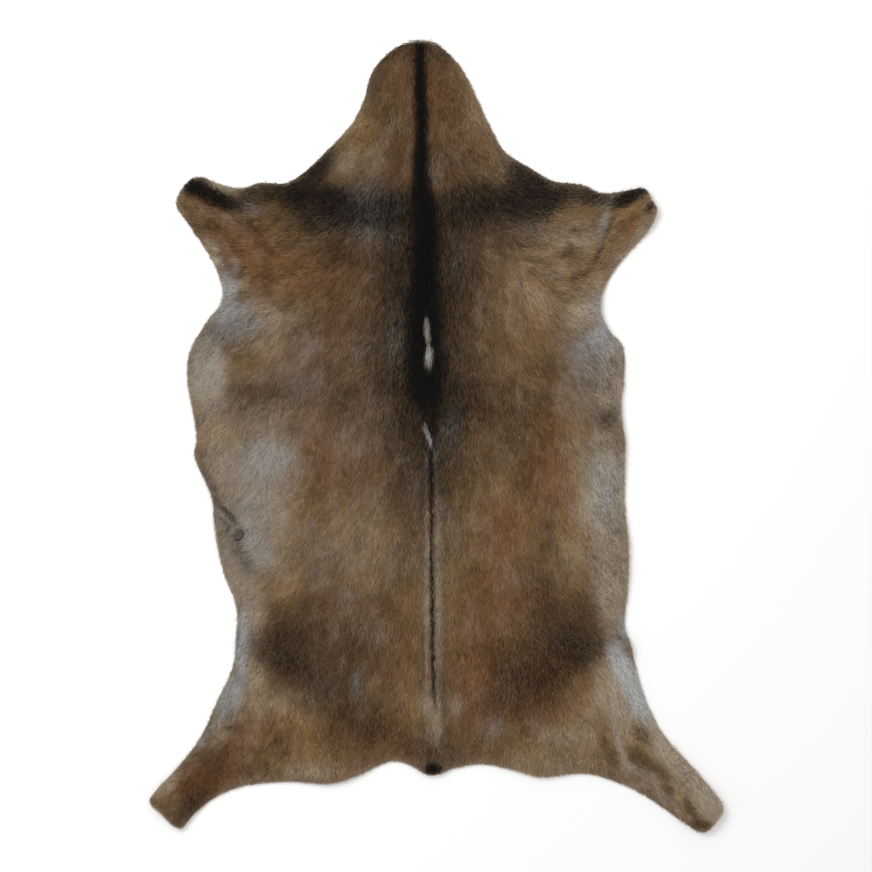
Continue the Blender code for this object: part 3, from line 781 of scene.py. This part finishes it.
def drawn_in(loop, inset):
    """An anticlockwise loop moved to its inside, square to its own course."""
    course = normalised(np.roll(loop, -1, 0) - np.roll(loop, 1, 0))
    return loop + inset * left_of(course)


def distance_to_loop(points, loop):
    """How far each point lies from the nearest stretch of a closed loop, worked out in batches."""
    run = np.roll(loop, -1, 0) - loop
    found = []
    for batch in np.array_split(points, max(1, len(points) * len(loop) // BATCH)):
        reach = batch[:, None, :] - loop[None, :, :]
        share = np.clip((reach * run).sum(2) / (run * run).sum(1), 0.0, 1.0)
        found.append(np.linalg.norm(reach - share[:, :, None] * run, axis=2).min(axis=1))
    return np.concatenate(found)


def inside(points, loop):
    """True for each point in a closed loop: a line to the right crosses the loop an odd number of times."""
    ax, ay = loop.T
    bx, by = np.roll(loop, -1, 0).T
    rise = np.where(by == ay, 1.0, by - ay)
    found = []
    for batch in np.array_split(points, max(1, len(points) * len(loop) // BATCH)):
        x, y = batch[:, :1], batch[:, 1:]
        crosses = ((ay > y) != (by > y)) & (x < ax + (y - ay) * (bx - ax) / rise)
        found.append(crosses.sum(axis=1) % 2 == 1)
    return np.concatenate(found)


def square_grid(low, high, pitch):
    """The places of a square grid over a box, as two arrays of rows and columns."""
    return np.meshgrid(np.arange(low[0], high[0], pitch), np.arange(low[1], high[1], pitch), indexing="ij")


def as_points(x, y):
    """The places of a grid as one row for each."""
    return np.stack([x.ravel(), y.ravel()], axis=1)


class Rim:
    """The hide's outline: how deep inside it a point lies, and which way is out."""

    def __init__(self, loop):
        self.loop = loop
        self.low = loop.min(axis=0) - RIM_FIELD_MARGIN
        self.high = loop.max(axis=0) + RIM_FIELD_MARGIN
        x, y = square_grid(self.low, self.high, RIM_FIELD_PITCH)
        places = as_points(x, y)
        depth = distance_to_loop(places, loop) * np.where(inside(places, loop), 1.0, -1.0)
        depth = depth.reshape(x.shape)
        out_x, out_y = (-step for step in np.gradient(depth, RIM_FIELD_PITCH))
        self.fields = [Grid(self.low, RIM_FIELD_PITCH, values) for values in (depth, out_x, out_y)]

    def depth(self, points):
        """How far inside the outline each point lies, less than 0 outside it."""
        return self.fields[0].at(points)

    def outward(self, points):
        """The shortest way out from each point."""
        return normalised(np.stack([field.at(points) for field in self.fields[1:]], axis=1))


def floor_side(points):
    """The height of the leather's underside: its folds and the wrinkles on them."""
    return mounds(points, FOLDS) + mounds(points, WRINKLES)


def coat_depth(points, rim):
    """The lying coat's depth: shallow at the rim, full a short way in, then changed region by region."""
    full = COAT_DEPTH + mounds(points, COAT_CHANGES)
    for _, wavelength, heading, height in COAT_WAVES:
        full += height * np.sin(2 * math.pi * (points @ unit(heading)) / wavelength)
    share = np.clip(rim.depth(points) / COAT_SLOPE_WIDTH, 0.0, 1.0)
    share *= 2.0 - share
    return COAT_DEPTH_AT_RIM * (1.0 - share) + full * share


def along_spine(y, column):
    """A column of the spine's table, read between its rows in proportion."""
    rows = sorted(SPINE, key=lambda row: row[1])
    return np.interp(y, [row[1] for row in rows], [row[column] for row in rows])


def from_spine(points):
    """How far to the right of the dark line's middle each point lies."""
    return points[:, 0] - along_spine(points[:, 1], MIDDLE)


def lie_of_coat(points, rim):
    """The direction in which the coat lies: the nearest guides' headings blended, straight back along the
    spine, turned a little by slow noise, and splayed outwards at the very rim."""
    side = from_spine(points)
    place = np.stack([np.abs(side), points[:, 1]], axis=1)
    lie = np.zeros_like(points)
    for _, out, y, heading, reach in LIE:
        weight = np.exp(-np.sum((place - np.array((out, y))) ** 2, axis=1) / reach ** 2)
        lie += weight[:, None] * unit(heading)
    lie = normalised(lie)
    calm = 1.0 - np.exp(-((side / SPINE_CALM) ** 2))
    lie[:, 0] *= np.sign(side) * calm
    turn = np.zeros(len(points))
    for pitch, seed, degrees in LIE_TURNS:
        turn += degrees * noise(points, pitch, seed)
    lie = turned(normalised(lie), turn * (SPINE_TURN + (1.0 - SPINE_TURN) * calm))
    out = rim.outward(points)
    lacking = np.clip(EDGE_SPLAY - np.sum(lie * out, axis=1), 0.0, None)
    lie += (lacking * np.exp(-rim.depth(points) / EDGE_SPLAY_REACH))[:, None] * out
    return normalised(lie)


def stripe(points):
    """The share of black that the line down the spine gives, with a soft edge and a slight wander."""
    half_width = along_spine(points[:, 1], HALF_WIDTH)
    on_spine = np.stack([np.zeros(len(points)), points[:, 1]], axis=1)
    aside = from_spine(points) - SPINE_WANDER * noise(on_spine, *SPINE_WANDER_NOISE)
    away = (np.abs(aside) - half_width) / (STRIPE_EDGE + STRIPE_EDGE_SHARE * half_width)
    return along_spine(points[:, 1], STRENGTH) / (1.0 + np.exp(np.clip(away, -30, 30)))


def wisps(points, lie, pitch, seed):
    """Noise drawn out along the lie of the coat: 1.4 times the mean of three readings, 0.7 of its pitch
    apart, which makes it as strong as plain noise again."""
    readings = [noise(points + lie * (0.7 * pitch * step), pitch, seed) for step in (-1, 0, 1)]
    return 1.4 * np.mean(readings, axis=0)


def covered(*shares):
    """Washes laid one over another: 1 less the product of what each leaves bare."""
    bare = 1.0
    for share in shares:
        bare = bare * (1.0 - np.clip(share, 0.0, 1.0))
    return 1.0 - bare


def drifts(points, lie):
    """What the noise adds to each pigment's share: the sum of its readings by the table's weights."""
    drawn_out = [wisps(points, lie, *kind) for kind in (BROAD_WISPS, MIDDLE_WISPS, FINE_WISPS, WARMTH)]
    readings = np.stack([np.ones(len(points)), *drawn_out, noise(points, *HUE)])
    return {pigment: np.array(weights) @ readings for pigment, weights in DRIFT.items()}


def pigments(points, lie, rim):
    """The shares of black, pale, cream, tan and rust in the coat at each point: the marks, and the noise's
    drift everywhere between them. Brown leaves no room for pale, cream or tan, and white none for black."""
    drift = drifts(points, lie)
    blotch = wisps(points, lie, *MOTTLE) + MOTTLE_GRAIN_SHARE * noise(points, *MOTTLE_GRAIN)
    mottle = eased(blotch / MOTTLE_EDGE) * wash(points, MOTTLED)
    brown_marks = wash(points, BROWN_MARKS)
    not_brown = 1.0 - covered(brown_marks, BROWN_IN_MOTTLE * mottle)
    white = wash(points, WHITE_MARKS)
    rim_cream = RIM_CREAM_SHARE * np.exp(-2.0 * rim.depth(points) / RIM_CREAM_WIDTH)
    rim_cream *= eased((RIM_CREAM_END - points[:, 1]) / RIM_CREAM_FADE)
    black = covered(wash(points, BLACK_MARKS), stripe(points), BLACK_IN_MOTTLE * mottle,
                    BLACK_IN_BROWN * brown_marks, drift["black"])
    pale = covered(wash(points, PALE_MARKS), drift["pale"])
    cream = covered(wash(points, CREAM_MARKS), rim_cream, drift["cream"])
    tan = wash(points, TAN_MARKS) + drift["tan"]
    shares = {
        "black": black * (1.0 - white),
        "pale": covered(pale * not_brown, white),
        "cream": cream * not_brown,
        "tan": tan * not_brown,
        "rust": wash(points, RUST_MARKS) + drift["rust"],
    }
    return {pigment: np.clip(share, 0.0, 1.0) for pigment, share in shares.items()}


def hair_roots(rim, slit, rng):
    """One root at a random place in each square of a grid, where there is leather."""
    x, y = square_grid(rim.low, rim.high, HAIR_PITCH)
    roots = as_points(x, y)
    roots += rng.uniform(0.0, HAIR_PITCH, roots.shape)
    roots = roots[rim.depth(roots) > HAIR_ROOT_MARGIN]
    near = np.all((roots > slit.min(axis=0) - 1.0) & (roots < slit.max(axis=0) + 1.0), axis=1)
    in_slit = np.zeros(len(roots), dtype=bool)
    in_slit[near] = inside(roots[near], drawn_in(slit, -SLIT_MARGIN))
    return roots[~in_slit]


def nearest_tuft(roots, lie, rng):
    """How far to the left of its tuft's middle each hair stands, and the tuft's three chances from -1 to 1.
    Each square of a grid holds one tuft's middle, and distances along the lie count for less than those
    across it."""
    jitter = rng.random((CELLS * CELLS, 2))
    cell = np.floor(roots / TUFT_PITCH).astype(int)
    nearest = np.full(len(roots), np.inf)
    tuft = np.zeros(len(roots), dtype=int)
    aside = np.zeros(len(roots))
    left = left_of(lie)
    for step in np.ndindex(3, 3):
        square = cell + np.array(step) - 1
        number = (square[:, 0] % CELLS) * CELLS + square[:, 1] % CELLS
        reach = roots - (square + jitter[number]) * TUFT_PITCH
        across = np.sum(reach * left, axis=1)
        distance = (np.sum(reach * lie, axis=1) / TUFT_STRETCH) ** 2 + across ** 2
        nearer = distance < nearest
        nearest[nearer], tuft[nearer], aside[nearer] = distance[nearer], number[nearer], across[nearer]
    return aside, rng.uniform(-1.0, 1.0, (CELLS * CELLS, 3))[tuft]


def hair_length(roots, rim):
    """Longest along the back, shorter to the rim and on the legs, and cropped where the coat is thin."""
    inwards = eased(rim.depth(roots) / LENGTH_INSIDE_DEPTH)
    ruff = np.exp(-(from_spine(roots) / RUFF_WIDTH) ** 2) * eased((roots[:, 1] - RUFF_END) / RUFF_FADE)
    thin = np.clip(coat_depth(roots, rim) / COAT_DEPTH, THINNEST_COAT, 1.0)
    return (LENGTH_AT_RIM + LENGTH_INSIDE * inwards + LENGTH_IN_RUFF * ruff) * np.sqrt(thin)


def trimmed(length, roots, lie, rim):
    """Lengths cut back, twice over, by the share that would pass the hide's edge and its overhang."""
    for _ in range(2):
        over = -rim.depth(roots + lie * length[:, None]) - HAIR_OVERHANG
        room = np.maximum(rim.depth(roots) + HAIR_OVERHANG, LEAST_ROOM)
        length = length * np.where(over > 0, room / (room + np.maximum(over, 0.0)), 1.0)
    return np.maximum(length, SHORTEST_HAIR)


def hair_courses(roots, rim, rng):
    """Each hair's direction, its middle and tip on the plan, and its tuft's chances. A hair turns from the
    lie of the coat with its tuft and on its own, bows to one side, and gathers towards its tuft's middle at
    its tip. It turns and gathers less along the spine."""
    lie = lie_of_coat(roots, rim)
    aside, tuft_chance = nearest_tuft(roots, lie, rng)
    near_spine = np.exp(-(from_spine(roots) / NEAT_SPINE_WIDTH) ** 2)
    turn = HAIR_TURN * rng.normal(size=len(roots)) + TUFT_TURN * tuft_chance[:, 0]
    lie = turned(lie, turn * (1.0 - NEAT_SPINE_TURN * near_spine))
    left = left_of(lie)
    length = hair_length(roots, rim) * rng.uniform(*LENGTH_SPREAD, len(roots))
    length = trimmed(length * (1.0 + TUFT_LENGTH * tuft_chance[:, 1]), roots, lie, rim)
    gather = TUFT_GATHER * (1.0 - NEAT_SPINE_GATHER * near_spine) * aside
    bow = rng.normal(scale=HAIR_BOW, size=len(roots))
    middles = roots + lie * (length * HAIR_MIDDLE)[:, None]
    middles = middles + left * (bow - MIDDLE_GATHER * gather)[:, None]
    tips = roots + lie * length[:, None] - left * gather[:, None]
    return lie, middles, tips, tuft_chance


def hair_corners(roots, middles, tips, lie, tuft_chance, rim, rng):
    """Each hair's four corners. A hair is a slim blade: it leaves the leather at its root, is widest near its
    middle, rolled a little about its course, and ends in a tip that lies on the coat's surface."""
    count = len(roots)
    lift = rng.uniform(*HAIR_LIFT, count) ** LIFT_POWER * (1.0 + TUFT_LIFT * tuft_chance[:, 2])
    above_leather = (
        -ROOT_IN_LEATHER,
        coat_depth(middles, rim) * lift * MIDDLE_LIFT,
        coat_depth(tips, rim) * lift * rng.uniform(*TIP_LIFT, count),
    )
    half_width = 0.5 * HAIR_WIDTH * rng.uniform(*WIDTH_SPREAD, count)
    roll = np.radians(rng.normal(scale=HAIR_ROLL, size=count))
    sideways = np.concatenate([left_of(lie) * np.cos(roll)[:, None], np.sin(roll)[:, None]], axis=1)
    sideways *= half_width[:, None]
    root, middle, tip = (
        np.column_stack([place, floor_side(place) + LEATHER_THICKNESS + height])
        for place, height in zip((roots, middles, tips), above_leather)
    )
    corners = np.stack([root, middle - sideways, tip, middle + sideways], axis=1)
    corners[:, :, 2] = np.maximum(corners[:, :, 2], LOWEST_HAIR)
    return corners


def pushed(share, chance, strength):
    """A share pushed up or down by a chance from 0 to 1, most where it is near a half: by strength times the
    root of share times 1 - share."""
    spread = np.sqrt(np.clip(share * (1.0 - share), 0.0, None))
    return np.clip(share + strength * spread * (chance - 0.5) * 2.0, 0.0, 1.0)


def hair_facts(roots, tips, lie, tuft_chance, rim, rng):
    """What the coat's finish reads on each hair: its shares of the pigments and its brightness. A few hairs
    are dark whatever lies under them, and white ones are brighter."""
    count = len(roots)
    read_at = roots + READ_AT * (tips - roots) + rng.normal(scale=READ_ASTRAY, size=(count, 2))
    shares = pigments(read_at, lie, rim)
    chances = rng.random((count, len(CHANCE)))
    facts = {}
    for column, (pigment, strength) in enumerate(CHANCE.items()):
        facts[pigment] = pushed(shares[pigment], chances[:, column], strength)
    dark = np.where(chances[:, -1] < DARK_HAIRS, DARK_HAIR_BLACK, 0.0)
    facts["black"] = np.maximum(facts["black"], dark)
    brightness = 1.0 + HAIR_SHADE * rng.normal(size=count) + TUFT_SHADE * tuft_chance[:, 1]
    facts["shade"] = brightness + WHITE_SHADE * wash(read_at, WHITE_MARKS)
    return facts


def hairs(rim, slit):
    """Every hair's four corners and what its finish reads. No hair covers the teat."""
    rng = np.random.default_rng(HAIR_SEED)
    roots = hair_roots(rim, slit, rng)
    lie, middles, tips, tuft_chance = hair_courses(roots, rim, rng)
    corners = hair_corners(roots, middles, tips, lie, tuft_chance, rim, rng)
    facts = hair_facts(roots, tips, lie, tuft_chance, rim, rng)
    clear = [ellipse_reach(place, *TEAT_ELLIPSE) > TEAT_CLEAR for place in (roots, middles, tips)]
    clear = np.all(clear, axis=0)
    return corners[clear], {fact: values[clear] for fact, values in facts.items()}


class Wired:
    """A node's output in sums: each operator adds one Math node to the output's own tree."""

    def __init__(self, socket):
        self.socket = socket

    def maths(self, operation, *values):
        """A Math node on the values, wired."""
        return node(self.socket.id_data, "ShaderNodeMath", {"operation": operation}, dict(enumerate(values)))

    def __add__(self, other):
        return self.maths("ADD", self, other)

    def __mul__(self, other):
        return self.maths("MULTIPLY", self, other)

    def __pow__(self, other):
        return self.maths("POWER", self, other)

    __radd__, __rmul__ = __add__, __mul__


def node(tree, kind, settings, sockets, output=0):
    """A new node: first its settings, then a value or a link for each socket. Returns one output, wired."""
    made = tree.nodes.new(kind)
    for name, value in settings.items():
        setattr(made, name, value)
    for name, value in sockets.items():
        if isinstance(value, Wired):
            tree.links.new(value.socket, made.inputs[name])
        else:
            made.inputs[name].default_value = value
    return Wired(made.outputs[output])


def colour_mix(tree, factor, first, second):
    """The first colour turning into the second."""
    return node(tree, "ShaderNodeMix", {"data_type": "RGBA"}, {0: factor, 6: first, 7: second}, output=2)


def scaled(tree, colour, brightness):
    """A colour made brighter or darker by a factor."""
    return node(tree, "ShaderNodeVectorMath", {"operation": "SCALE"}, {"Vector": colour, "Scale": brightness})


def attribute(tree, name):
    """A piece's fact, as a number."""
    return node(tree, "ShaderNodeAttribute", {"attribute_name": name}, {}, output=2)


def object_noise(tree, scale, detail=2.0, stretch=(1.0, 1.0, 1.0)):
    """Noise on Object coordinates, from 0 to 1, with that many cells to the metre."""
    place = node(tree, "ShaderNodeTexCoord", {}, {}, output=3)
    place = node(tree, "ShaderNodeMapping", {}, {"Vector": place, "Scale": stretch})
    return node(tree, "ShaderNodeTexNoise", {}, {"Vector": place, "Scale": scale, "Detail": detail})


def display(code, gain=1.0):
    """A colour as it shows on a screen, such as 0x8f7450, as the linear colour that a shader takes."""
    shares = [(code >> shift & 255) / 255 for shift in (16, 8, 0)]
    linear = [s / 12.92 if s <= 0.04045 else ((s + 0.055) / 1.055) ** 2.4 for s in shares]
    return (*(min(gain * s, 1.0) for s in linear), 1.0)


# The pigments, made brighter by what the shade between hairs takes away, then the leather and bare skin
HAIR_GAIN = 1.12
BROWN = display(0x6A523A, HAIR_GAIN)
TAN = display(0x907048, HAIR_GAIN)
RUST = display(0x805836, HAIR_GAIN)
CREAM = display(0xB2A38E, HAIR_GAIN)
PALE = display(0xA8A7A4, HAIR_GAIN)
BLACK = display(0x0C0D0D, HAIR_GAIN)
SUEDE = display(0xC9B89A)
SUEDE_STAIN = display(0xA98F69)
RAW_EDGE = display(0xB7A88E)
BARE_SKIN = display(0x6B5A4E)
TEAT_SKIN = display(0x3A3234)
TEAT_MIDDLE_SKIN = display(0x4E4248)


def new_material(name, roughness, specular):
    """A material with a Principled shader and nothing linked to it yet."""
    material = bpy.data.materials.new(name)
    material.use_nodes = True
    shader = material.node_tree.nodes["Principled BSDF"]
    shader.inputs["Roughness"].default_value = roughness
    shader.inputs["Specular IOR Level"].default_value = specular
    return material, material.node_tree, shader


def bump(tree, shader, height, distance, strength):
    """Gives a shader the relief of a height from 0 to 1, that many metres deep."""
    sockets = {"Height": height, "Distance": distance, "Strength": strength}
    relief = node(tree, "ShaderNodeBump", {}, sockets)
    tree.links.new(relief.socket, shader.inputs["Normal"])


def coat_colour(tree):
    """The pigments mixed one after another, black last."""
    colour = colour_mix(tree, attribute(tree, "tan"), BROWN, TAN)
    colour = colour_mix(tree, attribute(tree, "rust"), colour, RUST)
    colour = colour_mix(tree, attribute(tree, "cream"), colour, CREAM)
    colour = colour_mix(tree, attribute(tree, "pale"), colour, PALE)
    return colour_mix(tree, attribute(tree, "black"), colour, BLACK)


def coat_material():
    """Short goat hair: the pigments of each hair, darker at its root and banded along its length."""
    material, tree, shader = new_material("goat_coat", roughness=0.62, specular=0.05)
    bands = object_noise(tree, 620.0)
    root_to_tip = 0.70 + 0.40 * attribute(tree, "along") ** 0.8
    brightness = attribute(tree, "shade") * root_to_tip * (0.82 + 0.36 * bands)
    tree.links.new(scaled(tree, coat_colour(tree), brightness).socket, shader.inputs["Base Color"])
    tree.links.new((0.50 + 0.22 * bands).socket, shader.inputs["Roughness"])
    return material


def leather_material():
    """Suede underneath, stained by handling, a raw cut edge, and grey skin tinted by the coat on top."""
    material, tree, shader = new_material("goat_leather", roughness=0.85, specular=0.15)
    stains = object_noise(tree, 9.0, detail=4.0)
    nap = object_noise(tree, 900.0, detail=3.0)
    suede = colour_mix(tree, stains, SUEDE, SUEDE_STAIN)
    suede = scaled(tree, suede, 0.82 + 0.36 * nap)
    skin = colour_mix(tree, 0.55, BARE_SKIN, coat_colour(tree))
    skin = scaled(tree, skin, 0.45 + 0.5 * nap)
    colour = colour_mix(tree, attribute(tree, "coat_side"), suede, skin)
    colour = colour_mix(tree, attribute(tree, "cut") * 0.7, colour, RAW_EDGE)
    tree.links.new(colour.socket, shader.inputs["Base Color"])
    tree.links.new((0.75 + 0.2 * nap).socket, shader.inputs["Roughness"])
    bump(tree, shader, nap, distance=0.0004, strength=0.6)
    return material


def teat_material():
    """Dark wrinkled skin, paler in the middle than round it."""
    material, tree, shader = new_material("teat_skin", roughness=0.6, specular=0.25)
    wrinkles = object_noise(tree, 800.0, detail=3.0)
    colour = colour_mix(tree, attribute(tree, "ring"), TEAT_MIDDLE_SKIN, TEAT_SKIN)
    colour = colour_mix(tree, 0.5 * wrinkles, colour, BARE_SKIN)
    tree.links.new(colour.socket, shader.inputs["Base Color"])
    bump(tree, shader, wrinkles, distance=0.0006, strength=0.8)
    return material


def new_piece(name, corners, faces, facts, flat_map, material):
    """A mesh piece from whole arrays: its corners in millimetres, its triangles, the facts that its finish
    reads at each corner, and a map of the coat or leather on which its colours can be baked."""
    mesh = bpy.data.meshes.new(name)
    mesh.vertices.add(len(corners))
    mesh.vertices.foreach_set("co", (corners * MILLIMETRE).astype(np.float32).ravel())
    mesh.loops.add(faces.size)
    mesh.loops.foreach_set("vertex_index", faces.astype(np.int32).ravel())
    mesh.polygons.add(len(faces))
    mesh.polygons.foreach_set("loop_start", np.arange(0, faces.size, faces.shape[1], dtype=np.int32))
    for fact, values in facts.items():
        mesh.attributes.new(fact, "FLOAT", "POINT").data.foreach_set("value", values.astype(np.float32))
    bake_map = mesh.uv_layers.new(name="OFBake")
    bake_map.data.foreach_set("uv", flat_map[faces.ravel()].astype(np.float32).ravel())
    mesh.update(calc_edges=True)
    mesh.shade_smooth()
    mesh.materials.append(material)
    piece = bpy.data.objects.new(name, mesh)
    bpy.context.scene.collection.objects.link(piece)
    return piece


def plan_map(places, low, span):
    """A flat map of the plan that keeps its shape: the box's low corner at 0, and the span as 1."""
    return (places[:, :2] - low) / span


def leather_field(rim, slit):
    """The points between the leather's outline and its slit: a staggered grid, and a finer one on the
    wrinkled flank, both a little astray."""
    x, y = square_grid(rim.low, rim.high, LEATHER_PITCH)
    y[1::2] += LEATHER_PITCH / 2
    plain = as_points(x, y)
    plain = plain[ellipse_reach(plain, *WRINKLED_FLANK) > 1.0]
    middle, reach, heading = np.array(WRINKLED_FLANK[:2]), np.array(WRINKLED_FLANK[2:4]), WRINKLED_FLANK[4]
    fine = as_points(*square_grid(middle - reach, middle + reach, WRINKLED_FLANK_PITCH))
    fine = fine[ellipse_reach(fine, *middle, *(reach - WRINKLED_FLANK_GAP), heading) <= 1.0]
    field = np.vstack([plain, fine])
    field += np.random.default_rng(LEATHER_SEED).uniform(-LEATHER_JITTER, LEATHER_JITTER, field.shape)
    field = field[rim.depth(field) > LEATHER_INSET + LEATHER_TO_RIM]
    near = np.linalg.norm(field - slit.mean(axis=0), axis=1) < SLIT_SURROUND
    clear = np.ones(len(field), dtype=bool)
    clear[near] = (distance_to_loop(field[near], slit) > LEATHER_TO_SLIT) & ~inside(field[near], slit)
    return field[clear]


def leather(rim, slit):
    """The hide's leather: a sheet on its folds, with its outline and its slit cut through. The triangles of
    its plan are its upper face and, turned over, its lower one, with walls between them."""
    outline = drawn_in(rim.loop, LEATHER_INSET)
    plan = np.vstack([outline, slit, leather_field(rim, slit)])
    loops = [np.arange(len(outline)), len(outline) + np.arange(len(slit))[::-1]]
    edges = np.vstack([np.stack([loop, np.roll(loop, -1)], axis=1) for loop in loops])
    inside_only, merge_distance = 1, 1e-6
    found = delaunay_2d_cdt(plan.tolist(), edges.tolist(), [], inside_only, merge_distance)
    triangles = np.array(found[2])
    triangles = triangles[~inside(plan[triangles].mean(axis=1), slit)]
    below = floor_side(plan)
    count = len(plan)
    a, b = edges.T
    walls = np.vstack([np.stack([a, b, b + count], axis=1), np.stack([a, b + count, a + count], axis=1)])
    faces = np.vstack([triangles + count, triangles[:, ::-1], walls])
    corners = np.vstack([np.column_stack([plan, below]), np.column_stack([plan, below + LEATHER_THICKNESS])])
    shares = pigments(plan, lie_of_coat(plan, rim), rim)
    facts = {pigment: np.tile(share, 2) for pigment, share in shares.items()}
    facts["coat_side"] = np.repeat([0.0, 1.0], count)
    facts["cut"] = np.tile(np.arange(count) < len(outline), 2)
    both_faces = 2.04 * (rim.high - rim.low)[0]
    places = plan_map(corners, rim.low, both_faces)
    places[count:, 0] += 0.5
    return new_piece("leather", corners, faces, facts, places, leather_material())


def teat():
    """The dried teat: an oval button of skin in rings about its middle. Its height falls off with the fourth
    power of the share of its radius, less a dimple in the middle, with two slow counts of lumps round it."""
    share = np.append(np.linspace(0.0, 1.0, TEAT_RINGS + 1)[1:], 1.0)[:, None]
    angle = np.linspace(0.0, 2.0 * math.pi, TEAT_SIDES, endpoint=False)[None, :]
    lumps = 1.0 + 0.10 * np.cos(2 * angle + 0.9) + 0.06 * np.cos(5 * angle)
    along, across = share * lumps * np.cos(angle), share * lumps * np.sin(angle)
    height = (1.0 - share ** 4 - 0.35 * np.exp(-(share / 0.4) ** 2)) * (0.85 + 0.25 * np.cos(angle - 0.8))
    height[-1] = -0.2
    along, across, height = (np.append(0.0, values.ravel()) for values in (along, across, height))
    height[0] = 0.55
    plan = np.array(TEAT_MIDDLE) + TEAT_HALF_LENGTH * along[:, None] * unit(TEAT_HEADING)
    plan += TEAT_HALF_WIDTH * across[:, None] * unit(TEAT_HEADING + 90)
    corners = np.column_stack([plan, floor_side(plan) + LEATHER_THICKNESS + TEAT_HEIGHT * height])
    ring = np.arange(TEAT_SIDES)
    beside = np.roll(ring, -1)
    fan = np.stack([np.zeros(TEAT_SIDES, dtype=int), 1 + ring, 1 + beside], axis=1)
    starts = 1 + TEAT_SIDES * np.arange(len(share) - 1)[:, None]
    inner, inner_next = starts + ring, starts + beside
    outer, outer_next = inner + TEAT_SIDES, inner_next + TEAT_SIDES
    near = np.stack([inner, outer, outer_next], axis=2).reshape(-1, 3)
    far = np.stack([inner, outer_next, inner_next], axis=2).reshape(-1, 3)
    places = plan_map(corners, corners[:, :2].min(axis=0), 2.1 * TEAT_HALF_LENGTH)
    facts = {"ring": np.append(0.0, np.repeat(eased((share - 0.25) / 0.5), TEAT_SIDES))}
    return new_piece("teat", corners, np.vstack([fan, near, far]), facts, places, teat_material())


def coat(rim, slit):
    """The coat in bands from the neck to the hind legs, with as many hairs in each. A hair is two triangles:
    root, middle and middle, then middle, tip and middle."""
    corners, facts = hairs(rim, slit)
    order = np.argsort(-corners[:, 0, 1])
    bands = ("neck_and_shoulders", "ribs", "loins", "rump", "hind_legs")
    material = coat_material()
    pieces = []
    for band, chosen in zip(bands, np.array_split(order, len(bands))):
        places = corners[chosen].reshape(-1, 3)
        first = 4 * np.arange(len(chosen))[:, None]
        blades = np.concatenate([first + (0, 1, 3), first + (1, 2, 3)], axis=0)
        told = {fact: np.repeat(values[chosen], 4) for fact, values in facts.items()}
        told["along"] = np.tile([0.0, HAIR_MIDDLE, 1.0, HAIR_MIDDLE], len(chosen))
        low = places[:, :2].min(axis=0)
        span = np.ptp(places[:, :2], axis=0).max()
        pieces.append(new_piece("coat_" + band, places, blades, told, plan_map(places, low, span), material))
    return pieces


def pale_floor():
    """A plain pale floor just under the hide."""
    bpy.ops.mesh.primitive_plane_add(size=FLOOR_SIZE, location=(0.0, 0.0, -FLOOR_GAP))
    floor = bpy.context.object
    floor.name = "floor"
    material, _, shader = new_material("pale_floor", roughness=0.9, specular=0.0)
    shader.inputs["Base Color"].default_value = FLOOR_COLOUR
    floor.data.materials.append(material)


def soft_light():
    """Soft light from all round, and a large soft light to one side that points at the hide's middle."""
    world = bpy.data.worlds.new("studio")
    world.use_nodes = True
    sky = world.node_tree.nodes["Background"]
    sky.inputs["Color"].default_value = SKY_COLOUR
    sky.inputs["Strength"].default_value = SKY_STRENGTH
    bpy.context.scene.world = world
    lamp = bpy.data.lights.new("soft_box", "AREA")
    lamp.shape, lamp.size = "DISK", SOFT_BOX_WIDTH
    lamp.energy = SOFT_BOX_POWER
    box = bpy.data.objects.new("soft_box", lamp)
    box.location = SOFT_BOX_PLACE
    aim = -np.array(box.location)
    tilt = math.acos(-aim[2] / np.linalg.norm(aim))
    box.rotation_euler = (tilt, 0.0, math.atan2(aim[1], aim[0]) - math.pi / 2)
    bpy.context.scene.collection.objects.link(box)
    bpy.context.scene.view_settings.view_transform = "Standard"


def camera():
    """A camera straight above the hide, so far off that the frame is VIEW_WIDTH wide at the coat's top."""
    lens = bpy.data.cameras.new("camera")
    lens.lens, lens.sensor_width = LENS, FILM_WIDTH
    viewer = bpy.data.objects.new("camera", lens)
    viewer.location = (VIEW_ASIDE, 0.0, VIEW_WIDTH * LENS / FILM_WIDTH + COAT_TOP)
    bpy.context.scene.collection.objects.link(viewer)
    bpy.context.scene.camera = viewer


def main():
    """Sets up the studio, and builds the leather, the coat and the teat that take the place of the hide."""
    camera()
    pale_floor()
    soft_light()
    outline, slit = packed_loops()[:2]
    rim = Rim(smooth_loop(outline, RIM_PITCH))
    hide = leather(rim, slit)
    coat_and_teat = [*coat(rim, slit), teat()]
    for piece in (hide, *coat_and_teat):
        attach(piece, "root")
        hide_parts("goat_hide")


main()
